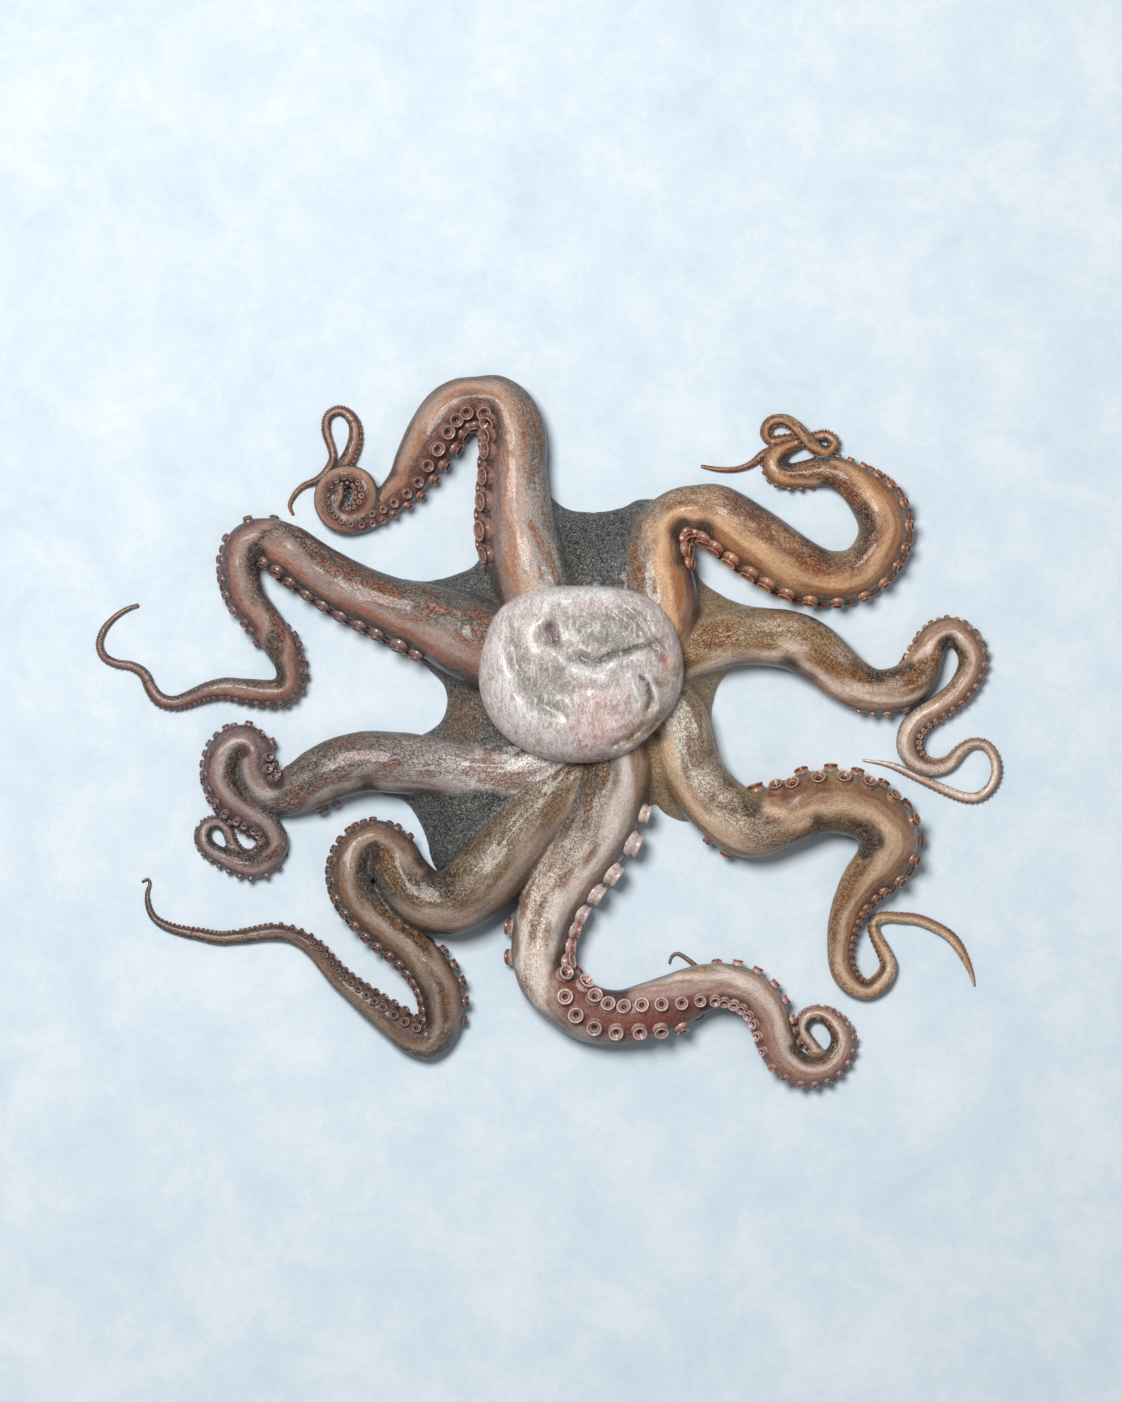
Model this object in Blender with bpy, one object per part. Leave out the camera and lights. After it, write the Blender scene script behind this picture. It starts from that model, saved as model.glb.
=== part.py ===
"""A whole raw common octopus, laid belly-down on a table with its eight arms curled around it.

One closed body: the mantle bag, the crown of web that joins the arm roots, and eight arms with
their larger suckers. Lengths in the tables are millimetres. The origin is the middle of the
bottom, the arms spread over X and Y, and Z is up.
"""
import math

import bmesh
import bpy
from mathutils import Vector, geometry

MM = 0.001
SKIN_COLOUR = (0.36, 0.29, 0.24, 1.0)
SKIN_ROUGHNESS = 0.32

# Arms: waypoints along each arm from root to tip, as
# (x, y, half width, roll[, spread[, lift]]).
# The roll is where the suckered side faces, in degrees: 0 down, 90 to the left of travel.
# The spread is half the angle between the two rows of suckers, SPREAD where left out.
# The lift is how high the arm rides over another turn of itself, 0 where left out.
SPREAD = 22.0
ARMS = {
    "top": (
        (7, 49.5, 25.6, 80), (-6, 84.5, 26.2, 85), (-16, 116.5, 25, 90), (-20, 142, 21.8, 92),
        (-21, 167.5, 19.5, 94), (-21, 187, 19.2, 98), (-25.5, 201.5, 18.6, 104),
        (-34, 210, 17.3, 122, 24), (-45, 211, 16, 130, 26), (-57, 209.5, 16, 130, 26),
        (-67, 202, 16.3, 128, 26), (-75.5, 188, 16.6, 128, 26), (-84, 173, 14.7, 128, 26),
        (-92, 158.5, 12.2, 130, 24), (-111.5, 140, 8.6, 155), (-122, 134, 7.7, 190, 25, 0.6),
        (-133, 133, 7, 218, 28, 1.3), (-142, 140, 6.7, 228, 28, 2.6),
        (-144.5, 150.5, 6.1, 230, 28, 3.8), (-139.5, 160.5, 5.8, 230, 28, 5.8),
        (-128.5, 164.5, 5.8, 230, 28, 7.7), (-119, 160, 6.7, 232, 28, 8.3),
        (-116.5, 149, 7.4, 232, 28, 7.7), (-122, 140, 5.8, 240, 25, 6.4),
        (-131, 137.5, 4.5, 260, 20, 5.1), (-137, 142.5, 3.8, 300, 20, 5.8),
        (-134, 152.5, 3.5, 300, 20, 7.7), (-134.5, 160.5, 3.8, 290, 20, 6.4),
        (-132.5, 169, 4.5, 280, 20, 3.2), (-127.5, 177.5, 4.6, 270, 20, 0.6),
        (-124.5, 187, 4.4, 270, 20), (-125, 196.5, 3.8, 270, 20), (-129.5, 203, 3.3, 270, 20),
        (-135, 205, 3.1, 270, 20), (-141, 201.5, 2.9, 270, 20), (-142.5, 193.5, 2.8, 270, 20),
        (-138, 175.5, 2.4, 270, 20, 1.3), (-141.5, 167.5, 2.3, 270, 20, 4.5),
        (-148, 161, 2.1, 270, 20, 3.8), (-157, 157, 1.9, 270, 20, 0.6),
        (-163, 151, 1.7, 270, 20), (-166, 144.5, 1.4, 270, 20), (-164, 139, 1, 270, 20),
    ),
    "upper_right": (
        (68, 46, 23, -70), (71, 81.5, 24.3, -80), (68, 110, 21.1, -85),
        (71.5, 129.5, 17.3, -90), (81.5, 139.5, 15.4, -95), (93, 141.5, 16, -88),
        (106, 139.5, 18.6, -84), (140, 117, 19.8, -85, 20), (159.5, 105, 18.6, -84, 20),
        (178.5, 99, 16.6, -84, 20), (196, 102, 15.7, -82, 18), (207.5, 112.5, 15.7, -90, 16),
        (213, 127.5, 16, -88, 16), (210.5, 141.5, 16, -88, 16), (201.5, 153, 14.1, -90, 16),
        (190, 162, 11.2, -70, 20), (178.5, 166.5, 9.9, -20, 50), (154, 163.5, 8.3, 75, 20),
        (146, 166, 8, 88, 20), (143.5, 173, 7.4, 90, 20), (148, 179, 6.1, 90, 20),
        (163, 185.5, 4, 90, 20, 0.6), (177.5, 189, 3.5, 90, 20, 2.6),
        (182, 184.5, 3.6, 90, 20, 3.8), (177.5, 179, 3.7, 90, 20, 5.8),
        (169.5, 182, 4.2, 80, 20, 7.7), (157.5, 195, 4.1, 70, 20, 5.8),
        (150, 199.5, 4, 80, 20, 2.6), (141.5, 198, 3.8, 90, 20, 1.3),
        (138, 191.5, 3.8, 95, 20, 0.6), (141.5, 186, 3.6, 100, 20),
        (155.5, 187.5, 2.9, 120, 20, 0.6), (159.5, 185, 2.6, 150, 20, 0.6),
        (145.5, 181.5, 2.6, 190, 20), (137, 177.5, 2.7, 190, 20), (130, 171.5, 2.4, 170, 20),
        (121, 168, 2, 150, 20), (109.5, 167.5, 1.8, 120, 20), (98, 169.5, 1.2, 90, 20),
    ),
    "right": (
        (64.5, 43, 19.2, -20, 40), (108, 58, 18.6, -35, 35), (125.5, 61, 18.6, -40, 30),
        (141.5, 60.5, 18.6, -45, 30), (158, 57, 18.9, -50, 30), (174, 47.5, 17.9, -60, 25),
        (189.5, 34, 16, -68), (206.5, 26, 14.4, -72), (222.5, 28, 13.8, -50, 30),
        (235, 36.5, 12.5, 10, 50), (241.5, 50, 10.6, 75, 30), (246.5, 60, 9.3, 92),
        (256.5, 64.5, 8.3, 95), (265.5, 58, 9, 95), (270, 48, 9, 93), (268, 36.5, 8.5, 95),
        (261, 25.5, 8.1, 100), (250, 16.5, 7.8, 105), (238.5, 9, 7.8, 105), (231, -0.5, 8, 108),
        (230, -11, 7.7, 105), (235.5, -20, 6.7, 100), (246, -23.5, 5.6, 95),
        (256, -20.5, 4.7, 95), (263, -13, 4.1, 95), (270.5, -8, 3.6, 95), (278.5, -9, 3.5, 95),
        (284, -15.5, 3.3, 95), (286, -25, 3.3, 90), (283, -34.5, 3.2, 90),
        (275, -41.5, 3.2, 90), (266, -42, 3.2, 90), (232.5, -27.5, 2.7, 90),
        (221.5, -22.5, 2.2, 90), (212, -20, 1.5, 90), (201, -18.5, 0.8, 90),
    ),
    "lower_right": (
        (68, 27, 21.8, -30, 40), (82, 4.5, 20.5, -35, 40), (90, -21, 19.2, -40, 40),
        (105.5, -45, 20.5, -35, 45), (127.5, -59, 21.4, 0, 60), (151, -53, 20.5, 75, 45),
        (170, -45.5, 20.2, 105, 30), (191.5, -46.5, 19.8, 103, 26), (208, -54.5, 18.9, 96),
        (216.5, -68, 19.2, 90, 20), (212, -82.5, 17.6, 88, 20), (201.5, -94.5, 14.4, 92, 20),
        (192, -110, 11.2, 95), (187, -126.5, 9.3, 95), (185.5, -141, 8, 93),
        (188, -153.5, 7.8, 93), (195, -162.5, 7, 93), (204, -165.5, 6.1, 93),
        (213, -160, 6, 93), (217.5, -150, 5.2, 93), (207.5, -125, 3.6, 93),
        (210.5, -119.5, 3.3, 93), (226, -119.5, 3.5, 93), (235.5, -120.5, 3.4, 93),
        (254, -129.5, 3.4, 93), (261, -137, 3.2, 93), (269.5, -153.5, 1.7, 93),
        (272, -162.5, 0.8, 93),
    ),
    "bottom": (
        (36, 20.5, 24.3, 60, 30), (40.5, -18, 24.3, 70, 24), (36.5, -43.5, 23.7, 66, 20),
        (26, -69, 22.4, 66, 20), (11.5, -90, 21.1, 70), (0.5, -109.5, 19.5, 50, 40),
        (-5, -128, 18.6, 10, 80), (-6, -146, 17.6, 20, 80), (-1.5, -159.5, 17.3, 70, 60),
        (9, -170, 17.6, 140, 35), (26, -180, 18.2, 172, 26), (45.5, -182.5, 17.6, 183, 26),
        (63.5, -178, 18.2, 195, 28), (80.5, -171.5, 17.3, 225, 40),
        (96.5, -164.5, 15.7, 280, 75), (112.5, -162, 14.4, 330, 106),
        (128.5, -167.5, 14.4, 338, 112), (139, -180, 13.8, 338, 112),
        (143.5, -194.5, 13, 335, 108), (150, -208, 11.8, 325, 90), (162.5, -216, 10.6, 290, 50),
        (176, -214.5, 9.3, 272, 25), (185, -206, 8.3, 270, 20), (187.5, -196, 7.7, 270, 20),
        (182.5, -186, 6.4, 270, 20), (173.5, -180.5, 5, 270, 20), (165, -182.5, 4.7, 270, 20),
        (161.5, -190.5, 4.7, 270, 20), (172, -205, 4, 270, 20), (178.5, -211, 3.2, 270, 20),
    ),
    "bottom_tip": (
        (104.5, -162, 2, 90, 20), (97.5, -153.5, 1.9, 90, 20), (81.5, -142, 1.2, 90, 20),
        (78, -144.5, 1, 90, 20), (77, -148, 0.9, 90, 20),
    ),
    "lower_left": (
        (26, -8.5, 19.2, 40, 30), (7, -35, 19.8, 45, 30), (-7, -51, 21.1, 50, 28),
        (-23, -70.5, 22.4, 55, 26), (-41.5, -93, 23.7, 58, 26), (-62, -109, 21.1, 52, 30),
        (-80.5, -106, 19.5, 20, 60), (-94, -91, 17.6, -30, 55), (-101, -76, 15.4, -75, 30),
        (-110.5, -68, 11.5, -85, 24), (-122, -73, 11.2, -90), (-127.5, -86, 12.5, -92),
        (-125.5, -100.5, 12.8, -90), (-117, -114, 12.8, -85, 30),
        (-104.5, -126.5, 12.8, -70, 45), (-90, -138, 12.8, -45, 70),
        (-77.5, -150, 13.4, -10, 90), (-69.5, -164, 13.8, 0, 92), (-67.5, -178, 13, -5, 90),
        (-70, -190.5, 11.5, -30, 70), (-77.5, -199, 10.9, -80, 40), (-87, -195, 11.2, -125, 24),
        (-96.5, -187.5, 11.2, -140, 20), (-132.5, -159, 7.2, -140, 20),
        (-151, -138, 6, -138, 20), (-160.5, -132, 5.4, -125, 20), (-172, -128.5, 5.4, -115, 20),
        (-198, -131.5, 4.3, -110, 20), (-210.5, -132.5, 4.1, -110, 20),
        (-223.5, -130, 3.8, -110, 20), (-236, -127.5, 3.2, -110, 20),
        (-246, -124, 2.8, -110, 20), (-253, -119, 2.2, -100, 20),
        (-256.5, -111.5, 1.9, -95, 20), (-257, -103, 1.5, -95, 20),
        (-255.5, -97.5, 1.2, -95, 20), (-256.5, -94.5, 1, -95, 20), (-260, -96, 0.9, -95, 20),
    ),
    "left": (
        (16.5, -2, 21.8, 20, 30), (-15.5, -23, 19.8, 25, 30), (-44, -25, 18.6, 30, 30),
        (-70, -22, 18.6, 35, 30), (-95.5, -20, 19.8, 38, 30), (-117, -19, 19.5, 42, 30),
        (-137.5, -24.5, 19.2, 40, 30), (-155, -33.5, 17.3, 20, 50),
        (-168.5, -40.5, 13.4, -30, 50), (-180, -39, 11.2, -80, 35),
        (-187, -25.5, 11.5, -118, 24), (-188, -12, 11.8, -115), (-194.5, -6, 10.6, -100),
        (-204, -9, 10.6, -95), (-210, -19, 10.6, -93), (-209.5, -32.5, 10.6, -95),
        (-202, -45.5, 10.4, -105, 24), (-190.5, -54.5, 9.6, -112, 26),
        (-180.5, -61.5, 9.3, -95, 40), (-175.5, -71, 9.3, -50, 75), (-180, -80.5, 8.6, 0, 85),
        (-189.5, -86, 8, 30, 70), (-212, -78.5, 5.9, 80, 25), (-220, -71, 5.5, 88),
        (-220, -62, 4.8, 90), (-213, -58, 4, 90), (-206.5, -62.5, 3.8, 90),
        (-203, -71.5, 3.8, 90), (-197, -78, 3.6, 90), (-190, -78.5, 3.2, 90),
        (-185, -73.5, 2.7, 90), (-183.5, -66.5, 1.9, 90),
    ),
    "upper_left": (
        (-2.5, 33.5, 24.3, 90), (-31.5, 49.5, 26.9, 85), (-54, 61.5, 26.9, 76, 18),
        (-76, 71, 23, 77, 18), (-102.5, 80.5, 18.9, 78, 18), (-126.5, 91, 17.6, 78, 18),
        (-148, 103.5, 16.6, 76, 20), (-168.5, 117, 16.3, 85, 30), (-182.5, 123, 13.4, 0, 85),
        (-192.5, 120.5, 12.8, -70, 40), (-197.5, 110, 12.5, -88), (-196.5, 96.5, 12.5, -88),
        (-191.5, 83, 12, -85, 24), (-182.5, 70.5, 11.8, -60, 60), (-166.5, 46, 10.2, 85, 40),
        (-165, 34.5, 9.6, 105, 24), (-169.5, 26, 9, 105), (-192.5, 26, 8, 95),
        (-205.5, 28, 6.8, 95), (-217, 26.5, 6.1, 95), (-239.5, 18.5, 4.5, 93),
        (-249, 21, 4.3, 92), (-254.5, 28, 3.8, 90), (-259, 37, 3.3, 90), (-267, 42, 2.9, 90),
        (-276.5, 43.5, 2.7, 90), (-284.5, 48, 2.6, 90), (-287.5, 55.5, 2.4, 90),
        (-285, 64.5, 2.2, 90), (-278.5, 72.5, 1.9, 90), (-270.5, 78, 1.7, 90),
        (-263.5, 80.5, 1.4, 90),
    ),
}

# Suckers: how far along the arm the first one lies, and their radius as a share of the arm's
# half width, at the root and at the tip.
SUCKERS = {
    "top": (66, 0.32, 0.27), "upper_right": (60, 0.33, 0.21), "right": (150, 0.24, 0.22),
    "lower_right": (92, 0.26, 0.22), "bottom": (60, 0.40, 0.24), "lower_left": (190, 0.27, 0.27),
    "left": (165, 0.26, 0.26), "upper_left": (76, 0.32, 0.22),
}

# Free edge of the web between the arm roots, as a closed loop of (x, y).
WEB_EDGE = (
    (-1, 152), (9, 144), (26, 141), (44, 143), (61, 150), (81, 142), (92, 113), (96, 99),
    (107, 90), (124, 82), (145, 77), (154, 59), (127, 42), (118, 40), (109, 31), (105, 19),
    (104, 6), (108, -9), (113, -37), (90, -58), (71, -51), (67, -45), (58, -56), (33, -76),
    (4, -76), (-31, -87), (-66, -93), (-72, -89), (-76, -80), (-79, -68), (-85, -54),
    (-94, -44), (-108, -39), (-113, -21), (-70, 6), (-67, 13), (-66, 22), (-69, 31), (-79, 41),
    (-99, 72), (-126, 107), (-113, 102), (-99, 99), (-79, 97), (-60, 101), (-49, 106),
    (-44, 113), (-40, 129), (-22, 148),
)
WEB_EDGE_HEIGHT = 3.0
WEB_RISE = 33.0
WEB_SLOPE_LENGTH = 27.0
WEB_GRID = 7.0

# Mantle: a flattened bag with a blunt oval outline, one shallow dent and a sunken middle.
MANTLE_CENTRE = (20.5, 36.5)
MANTLE_HALF = (65.5, 56.5)
MANTLE_BLUNTNESS = 2.15
MANTLE_DENT = (0.07, -35.0, 25.0)       # depth as a share, direction and width in degrees
MANTLE_MID_HEIGHT = 40.0
MANTLE_HALF_HEIGHT = 32.0
MANTLE_BASIN = (-10.0, 14.0, 26.0, 7.0)  # offset x, y, radius, depth

ARM_FLATNESS = 0.88      # height of an arm's section over its width
REST_DEPTH = 0.06        # how much of the section is pressed flat by the table
THINNEST = 1.3           # half width below which a tip isn't modelled
SAMPLE_STEP = 2.5
RING_SIDES = 20
SMALLEST_SUCKER = 2.6    # radius below which suckers are left out
SUCKER_PITCH = 1.12      # step to the next sucker, in sucker radii
VOXEL = 1.35
SMOOTH_RADIUS = 135.0    # the crown inside this radius is smoothed so that arms flow into it
SMOOTH_PASSES = 6
TRIANGLE_TARGET = 9400


def clear_scene():
    for item in list(bpy.context.scene.objects):
        bpy.data.objects.remove(item, do_unlink=True)


def full_waypoint(point):
    """Fill in the spread and lift that a short waypoint leaves out."""
    return tuple(point) + (SPREAD, 0.0)[len(point) - 4:]


def glide(before, start, end, after, spans, u):
    """Value between start and end at u, on a curve that eases with uneven spacing."""
    a, b, c = spans
    leave = ((start - before) / a - (end - before) / (a + b) + (end - start) / b) * b
    arrive = ((end - start) / b - (after - start) / (b + c) + (after - end) / c) * b
    return ((2 * u ** 3 - 3 * u ** 2 + 1) * start + (u ** 3 - 2 * u ** 2 + u) * leave
            + (3 * u ** 2 - 2 * u ** 3) * end + (u ** 3 - u ** 2) * arrive)


def follow(waypoints, step, closed=False):
    """Sample a smooth route through the waypoints about every step millimetres."""
    count = len(waypoints)
    samples = []
    for i in range(count if closed else count - 1):
        if closed:
            quad = [waypoints[(i + k) % count] for k in (-1, 0, 1, 2)]
        else:
            quad = [waypoints[min(max(i + k, 0), count - 1)] for k in (-1, 0, 1, 2)]
        spans = [math.sqrt(math.dist(p[:2], q[:2])) or 1.0 for p, q in zip(quad, quad[1:])]
        pieces = max(1, round(spans[1] ** 2 / step))
        for k in range(pieces):
            samples.append(tuple(glide(*values, spans, k / pieces) for values in zip(*quad)))
    if not closed:
        samples.append(tuple(map(float, waypoints[-1])))
    return samples


def arm_frames(waypoints):
    """Centre, sideways direction, half width, half height, roll and spread along an arm."""
    samples = follow([full_waypoint(p) for p in waypoints], SAMPLE_STEP)
    frames = []
    for i, (x, y, half, roll, spread, lift) in enumerate(samples):
        if half < THINNEST:
            break
        ahead, behind = samples[min(i + 1, len(samples) - 1)], samples[max(i - 1, 0)]
        along = Vector((ahead[0] - behind[0], ahead[1] - behind[1], 0.0)).normalized()
        tall = half * ARM_FLATNESS
        centre = Vector((x, y, max(lift, 0.0) + tall * (1.0 - REST_DEPTH)))
        frames.append((centre, Vector((-along.y, along.x, 0.0)), half, tall, roll, spread))
    return frames


def on_section(frame, degrees):
    """Point on the arm's skin at an angle from straight down, and the way it faces."""
    centre, side, half, tall, _roll, _spread = frame
    angle = math.radians(degrees)
    point = centre + side * (half * math.sin(angle)) - Vector((0, 0, tall * math.cos(angle)))
    facing = side * (math.sin(angle) / half) - Vector((0, 0, math.cos(angle) / tall))
    return point, facing.normalized()


def add_rings(mesh, rings):
    """Skin a closed tube over rings of points, with a fan at either end."""
    loops = [[mesh.verts.new((p[0], p[1], max(p[2], 0.0))) for p in ring] for ring in rings]
    sides = len(loops[0])
    for lower, upper in zip(loops, loops[1:]):
        for k in range(sides):
            n = (k + 1) % sides
            mesh.faces.new((lower[k], lower[n], upper[n], upper[k]))
    mesh.faces.new(reversed(loops[0]))
    mesh.faces.new(loops[-1])


def add_arm(mesh, frames):
    rings = []
    for frame in frames:
        rings.append([on_section(frame, 360.0 * k / RING_SIDES)[0] for k in range(RING_SIDES)])
    tip, last = frames[-1][0], rings[-1]
    rings.append([tip + (Vector(p) - tip) * 0.5 for p in last])
    add_rings(mesh, rings)


def sucker_places(frames, first, shares):
    """Alternating places in two rows: point, facing and radius, shrinking to the tip."""
    travelled, due, side = 0.0, first, 1
    total = SAMPLE_STEP * len(frames)
    for before, frame in zip(frames, frames[1:]):
        travelled += (frame[0] - before[0]).length
        share = shares[0] + (shares[1] - shares[0]) * min(1.0, 1.6 * travelled / total)
        radius = frame[2] * share
        if travelled < due:
            continue
        due = travelled + radius * SUCKER_PITCH
        side = -side
        if radius >= SMALLEST_SUCKER:
            point, facing = on_section(frame, frame[4] + side * frame[5])
            yield point, facing, radius


def add_sucker(mesh, point, facing, radius):
    """A short stalk that widens to a rounded pad."""
    across = facing.orthogonal().normalized()
    up = facing.cross(across)
    profile = ((-0.8, 0.75), (0.15, 0.85), (0.5, 1.0), (0.72, 0.85), (0.8, 0.5))
    rings = []
    for height, width in profile:
        centre = point + facing * (height * radius)
        rings.append([centre + (across * math.cos(a) + up * math.sin(a)) * (width * radius)
                      for a in (math.tau * k / 12 for k in range(12))])
    add_rings(mesh, rings)


def edge_distance(x, y, loop):
    """Shortest distance from a place to a closed loop."""
    place = Vector((x, y))
    best = math.inf
    for start, end in zip(loop, loop[1:] + loop[:1]):
        start, end = Vector(start), Vector(end)
        span = end - start
        share = max(0.0, min(1.0, (place - start).dot(span) / max(span.length_squared, 1e-9)))
        best = min(best, (place - start - span * share).length)
    return best


def inside(x, y, loop):
    within = False
    for (ax, ay), (bx, by) in zip(loop, loop[1:] + loop[:1]):
        if (ay > y) != (by > y) and x < (bx - ax) * (y - ay) / (by - ay) + ax:
            within = not within
    return within


def add_web(mesh):
    """The sheet between the arm roots: thin at its free edge, rising to the crown."""
    loop = follow(WEB_EDGE, WEB_GRID * 0.6, closed=True)
    xs, ys = [p[0] for p in loop], [p[1] for p in loop]
    places = list(loop)
    for i in range(int((max(xs) - min(xs)) / WEB_GRID)):
        for j in range(int((max(ys) - min(ys)) / WEB_GRID)):
            x, y = min(xs) + (i + 0.5) * WEB_GRID, min(ys) + (j + 0.5) * WEB_GRID
            if inside(x, y, loop) and edge_distance(x, y, loop) > WEB_GRID * 0.4:
                places.append((x, y))
    rim = [(k, (k + 1) % len(loop)) for k in range(len(loop))]
    flat, edges, faces = geometry.delaunay_2d_cdt([Vector(p) for p in places], rim, [], 1, 0.01)[:3]
    tops, bottoms = [], []
    for p in flat:
        rise = WEB_RISE * (1.0 - math.exp(-edge_distance(p.x, p.y, loop) / WEB_SLOPE_LENGTH))
        tops.append(mesh.verts.new((p.x, p.y, WEB_EDGE_HEIGHT + rise)))
        bottoms.append(mesh.verts.new((p.x, p.y, 0.0)))
    used = {}
    for face in faces:
        mesh.faces.new([tops[k] for k in face])
        mesh.faces.new([bottoms[k] for k in reversed(face)])
        for a, b in zip(face, face[1:] + face[:1]):
            used[(a, b)] = True
    for a, b in used:
        if (b, a) not in used:
            mesh.faces.new((tops[a], bottoms[a], bottoms[b], tops[b]))


def mantle_reach(angle):
    """Distance from the mantle's middle to its outline, in the given direction."""
    a, b = MANTLE_HALF
    n = MANTLE_BLUNTNESS
    reach = (abs(math.cos(angle) / a) ** n + abs(math.sin(angle) / b) ** n) ** (-1.0 / n)
    depth, towards, width = MANTLE_DENT
    off = (math.degrees(angle) - towards + 180.0) % 360.0 - 180.0
    return reach * (1.0 - depth * math.exp(-(off / width) ** 2))


def add_mantle(mesh):
    around, levels = 48, 20
    rings = []
    for level in range(1, levels):
        tilt = math.pi * (level / levels - 0.5)
        ring = []
        for k in range(around):
            angle = math.tau * k / around
            reach = mantle_reach(angle) * math.cos(tilt) ** 0.8
            x, y = reach * math.cos(angle), reach * math.sin(angle)
            z = MANTLE_MID_HEIGHT + MANTLE_HALF_HEIGHT * math.sin(tilt)
            if tilt > 0:
                bx, by, radius, depth = MANTLE_BASIN
                z -= depth * math.exp(-((x - bx) ** 2 + (y - by) ** 2) / radius ** 2)
            ring.append((MANTLE_CENTRE[0] + x, MANTLE_CENTRE[1] + y, z))
        rings.append(ring)
    add_rings(mesh, rings)


def model_parts():
    """All the overlapping closed forms that make up the animal, in one mesh."""
    mesh = bmesh.new()
    for name, waypoints in ARMS.items():
        frames = arm_frames(waypoints)
        add_arm(mesh, frames)
        if name in SUCKERS:
            first, *shares = SUCKERS[name]
            for point, facing, radius in sucker_places(frames, first, shares):
                add_sucker(mesh, point, facing, radius)
    add_web(mesh)
    add_mantle(mesh)
    bmesh.ops.recalc_face_normals(mesh, faces=mesh.faces)
    return mesh


def skin_material():
    material = bpy.data.materials.new("octopus_skin")
    material.use_nodes = True
    shader = material.node_tree.nodes["Principled BSDF"]
    shader.inputs["Base Color"].default_value = SKIN_COLOUR
    shader.inputs["Roughness"].default_value = SKIN_ROUGHNESS
    shader.inputs["Metallic"].default_value = 0.0
    return material


def apply_modifier(item, kind, **settings):
    modifier = item.modifiers.new(kind.title(), kind)
    for key, value in settings.items():
        setattr(modifier, key, value)
    bpy.context.view_layer.objects.active = item
    bpy.ops.object.modifier_apply(modifier=modifier.name)


def smooth_crown(item):
    mesh = bmesh.new()
    mesh.from_mesh(item.data)
    middle = Vector((MANTLE_CENTRE[0], MANTLE_CENTRE[1])) * MM
    near = [v for v in mesh.verts if (v.co.xy - middle).length < SMOOTH_RADIUS * MM]
    for _ in range(SMOOTH_PASSES):
        bmesh.ops.smooth_vert(mesh, verts=near, factor=0.5,
                              use_axis_x=True, use_axis_y=True, use_axis_z=True)
    mesh.to_mesh(item.data)
    mesh.free()


def largest_body(item):
    """Drop loose specks, keep the one connected body."""
    mesh = bmesh.new()
    mesh.from_mesh(item.data)
    left, best = set(mesh.verts), []
    while left:
        seed = next(iter(left))
        found, queue = {seed}, [seed]
        while queue:
            for edge in queue.pop().link_edges:
                for vert in edge.verts:
                    if vert not in found:
                        found.add(vert)
                        queue.append(vert)
        left -= found
        if len(found) > len(best):
            best = list(found)
    keep = set(best)
    bmesh.ops.delete(mesh, geom=[v for v in mesh.verts if v not in keep], context="VERTS")
    mesh.to_mesh(item.data)
    mesh.free()


def settle(item):
    """Press the underside flat on the table and centre the origin."""
    verts = item.data.vertices
    low = min(v.co.z for v in verts)
    for v in verts:
        v.co.z = max(0.0, v.co.z - low - 0.4 * MM)
    for axis in (0, 1):
        middle = (min(v.co[axis] for v in verts) + max(v.co[axis] for v in verts)) / 2
        for v in verts:
            v.co[axis] -= middle


def build_octopus():
    parts = model_parts()
    bmesh.ops.scale(parts, vec=(MM, MM, MM), verts=parts.verts)
    data = bpy.data.meshes.new("octopus")
    parts.to_mesh(data)
    parts.free()
    octopus = bpy.data.objects.new("octopus", data)
    bpy.context.scene.collection.objects.link(octopus)
    apply_modifier(octopus, "REMESH", mode="VOXEL", voxel_size=VOXEL * MM)
    smooth_crown(octopus)
    apply_modifier(octopus, "TRIANGULATE")
    triangles = len(octopus.data.polygons)
    apply_modifier(octopus, "DECIMATE", ratio=TRIANGLE_TARGET / triangles)
    largest_body(octopus)
    settle(octopus)
    octopus.data.materials.append(skin_material())
    return octopus


clear_scene()
build_octopus()
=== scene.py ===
"""A whole raw octopus on a plain pale table, seen from straight above.

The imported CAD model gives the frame. The skin, suckers and mantle here are finer forms of the
CAD solid's own shapes, built from the same tables, in millimetres scaled by MM.
"""
import math

import bmesh
import bpy
from mathutils import Matrix, Vector, geometry, kdtree, noise


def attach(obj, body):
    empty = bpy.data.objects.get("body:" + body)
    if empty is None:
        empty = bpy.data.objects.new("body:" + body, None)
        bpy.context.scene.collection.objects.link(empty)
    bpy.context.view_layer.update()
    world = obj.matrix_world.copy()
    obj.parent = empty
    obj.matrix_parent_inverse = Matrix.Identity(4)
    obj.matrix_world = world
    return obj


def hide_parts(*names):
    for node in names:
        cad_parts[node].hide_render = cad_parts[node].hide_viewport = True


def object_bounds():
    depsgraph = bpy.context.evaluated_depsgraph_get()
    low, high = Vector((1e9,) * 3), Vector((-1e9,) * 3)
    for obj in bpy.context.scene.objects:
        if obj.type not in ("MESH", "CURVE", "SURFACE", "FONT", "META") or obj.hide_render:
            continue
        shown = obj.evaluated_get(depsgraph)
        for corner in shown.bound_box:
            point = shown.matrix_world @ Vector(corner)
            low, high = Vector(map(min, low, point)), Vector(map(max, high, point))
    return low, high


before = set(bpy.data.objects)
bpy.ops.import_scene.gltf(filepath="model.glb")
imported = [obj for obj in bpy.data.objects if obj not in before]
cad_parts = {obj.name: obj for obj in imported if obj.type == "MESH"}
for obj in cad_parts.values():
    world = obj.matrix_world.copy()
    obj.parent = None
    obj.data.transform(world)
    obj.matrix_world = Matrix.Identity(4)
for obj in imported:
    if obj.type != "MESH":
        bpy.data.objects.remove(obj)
cad_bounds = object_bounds()

MM = 0.001

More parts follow.
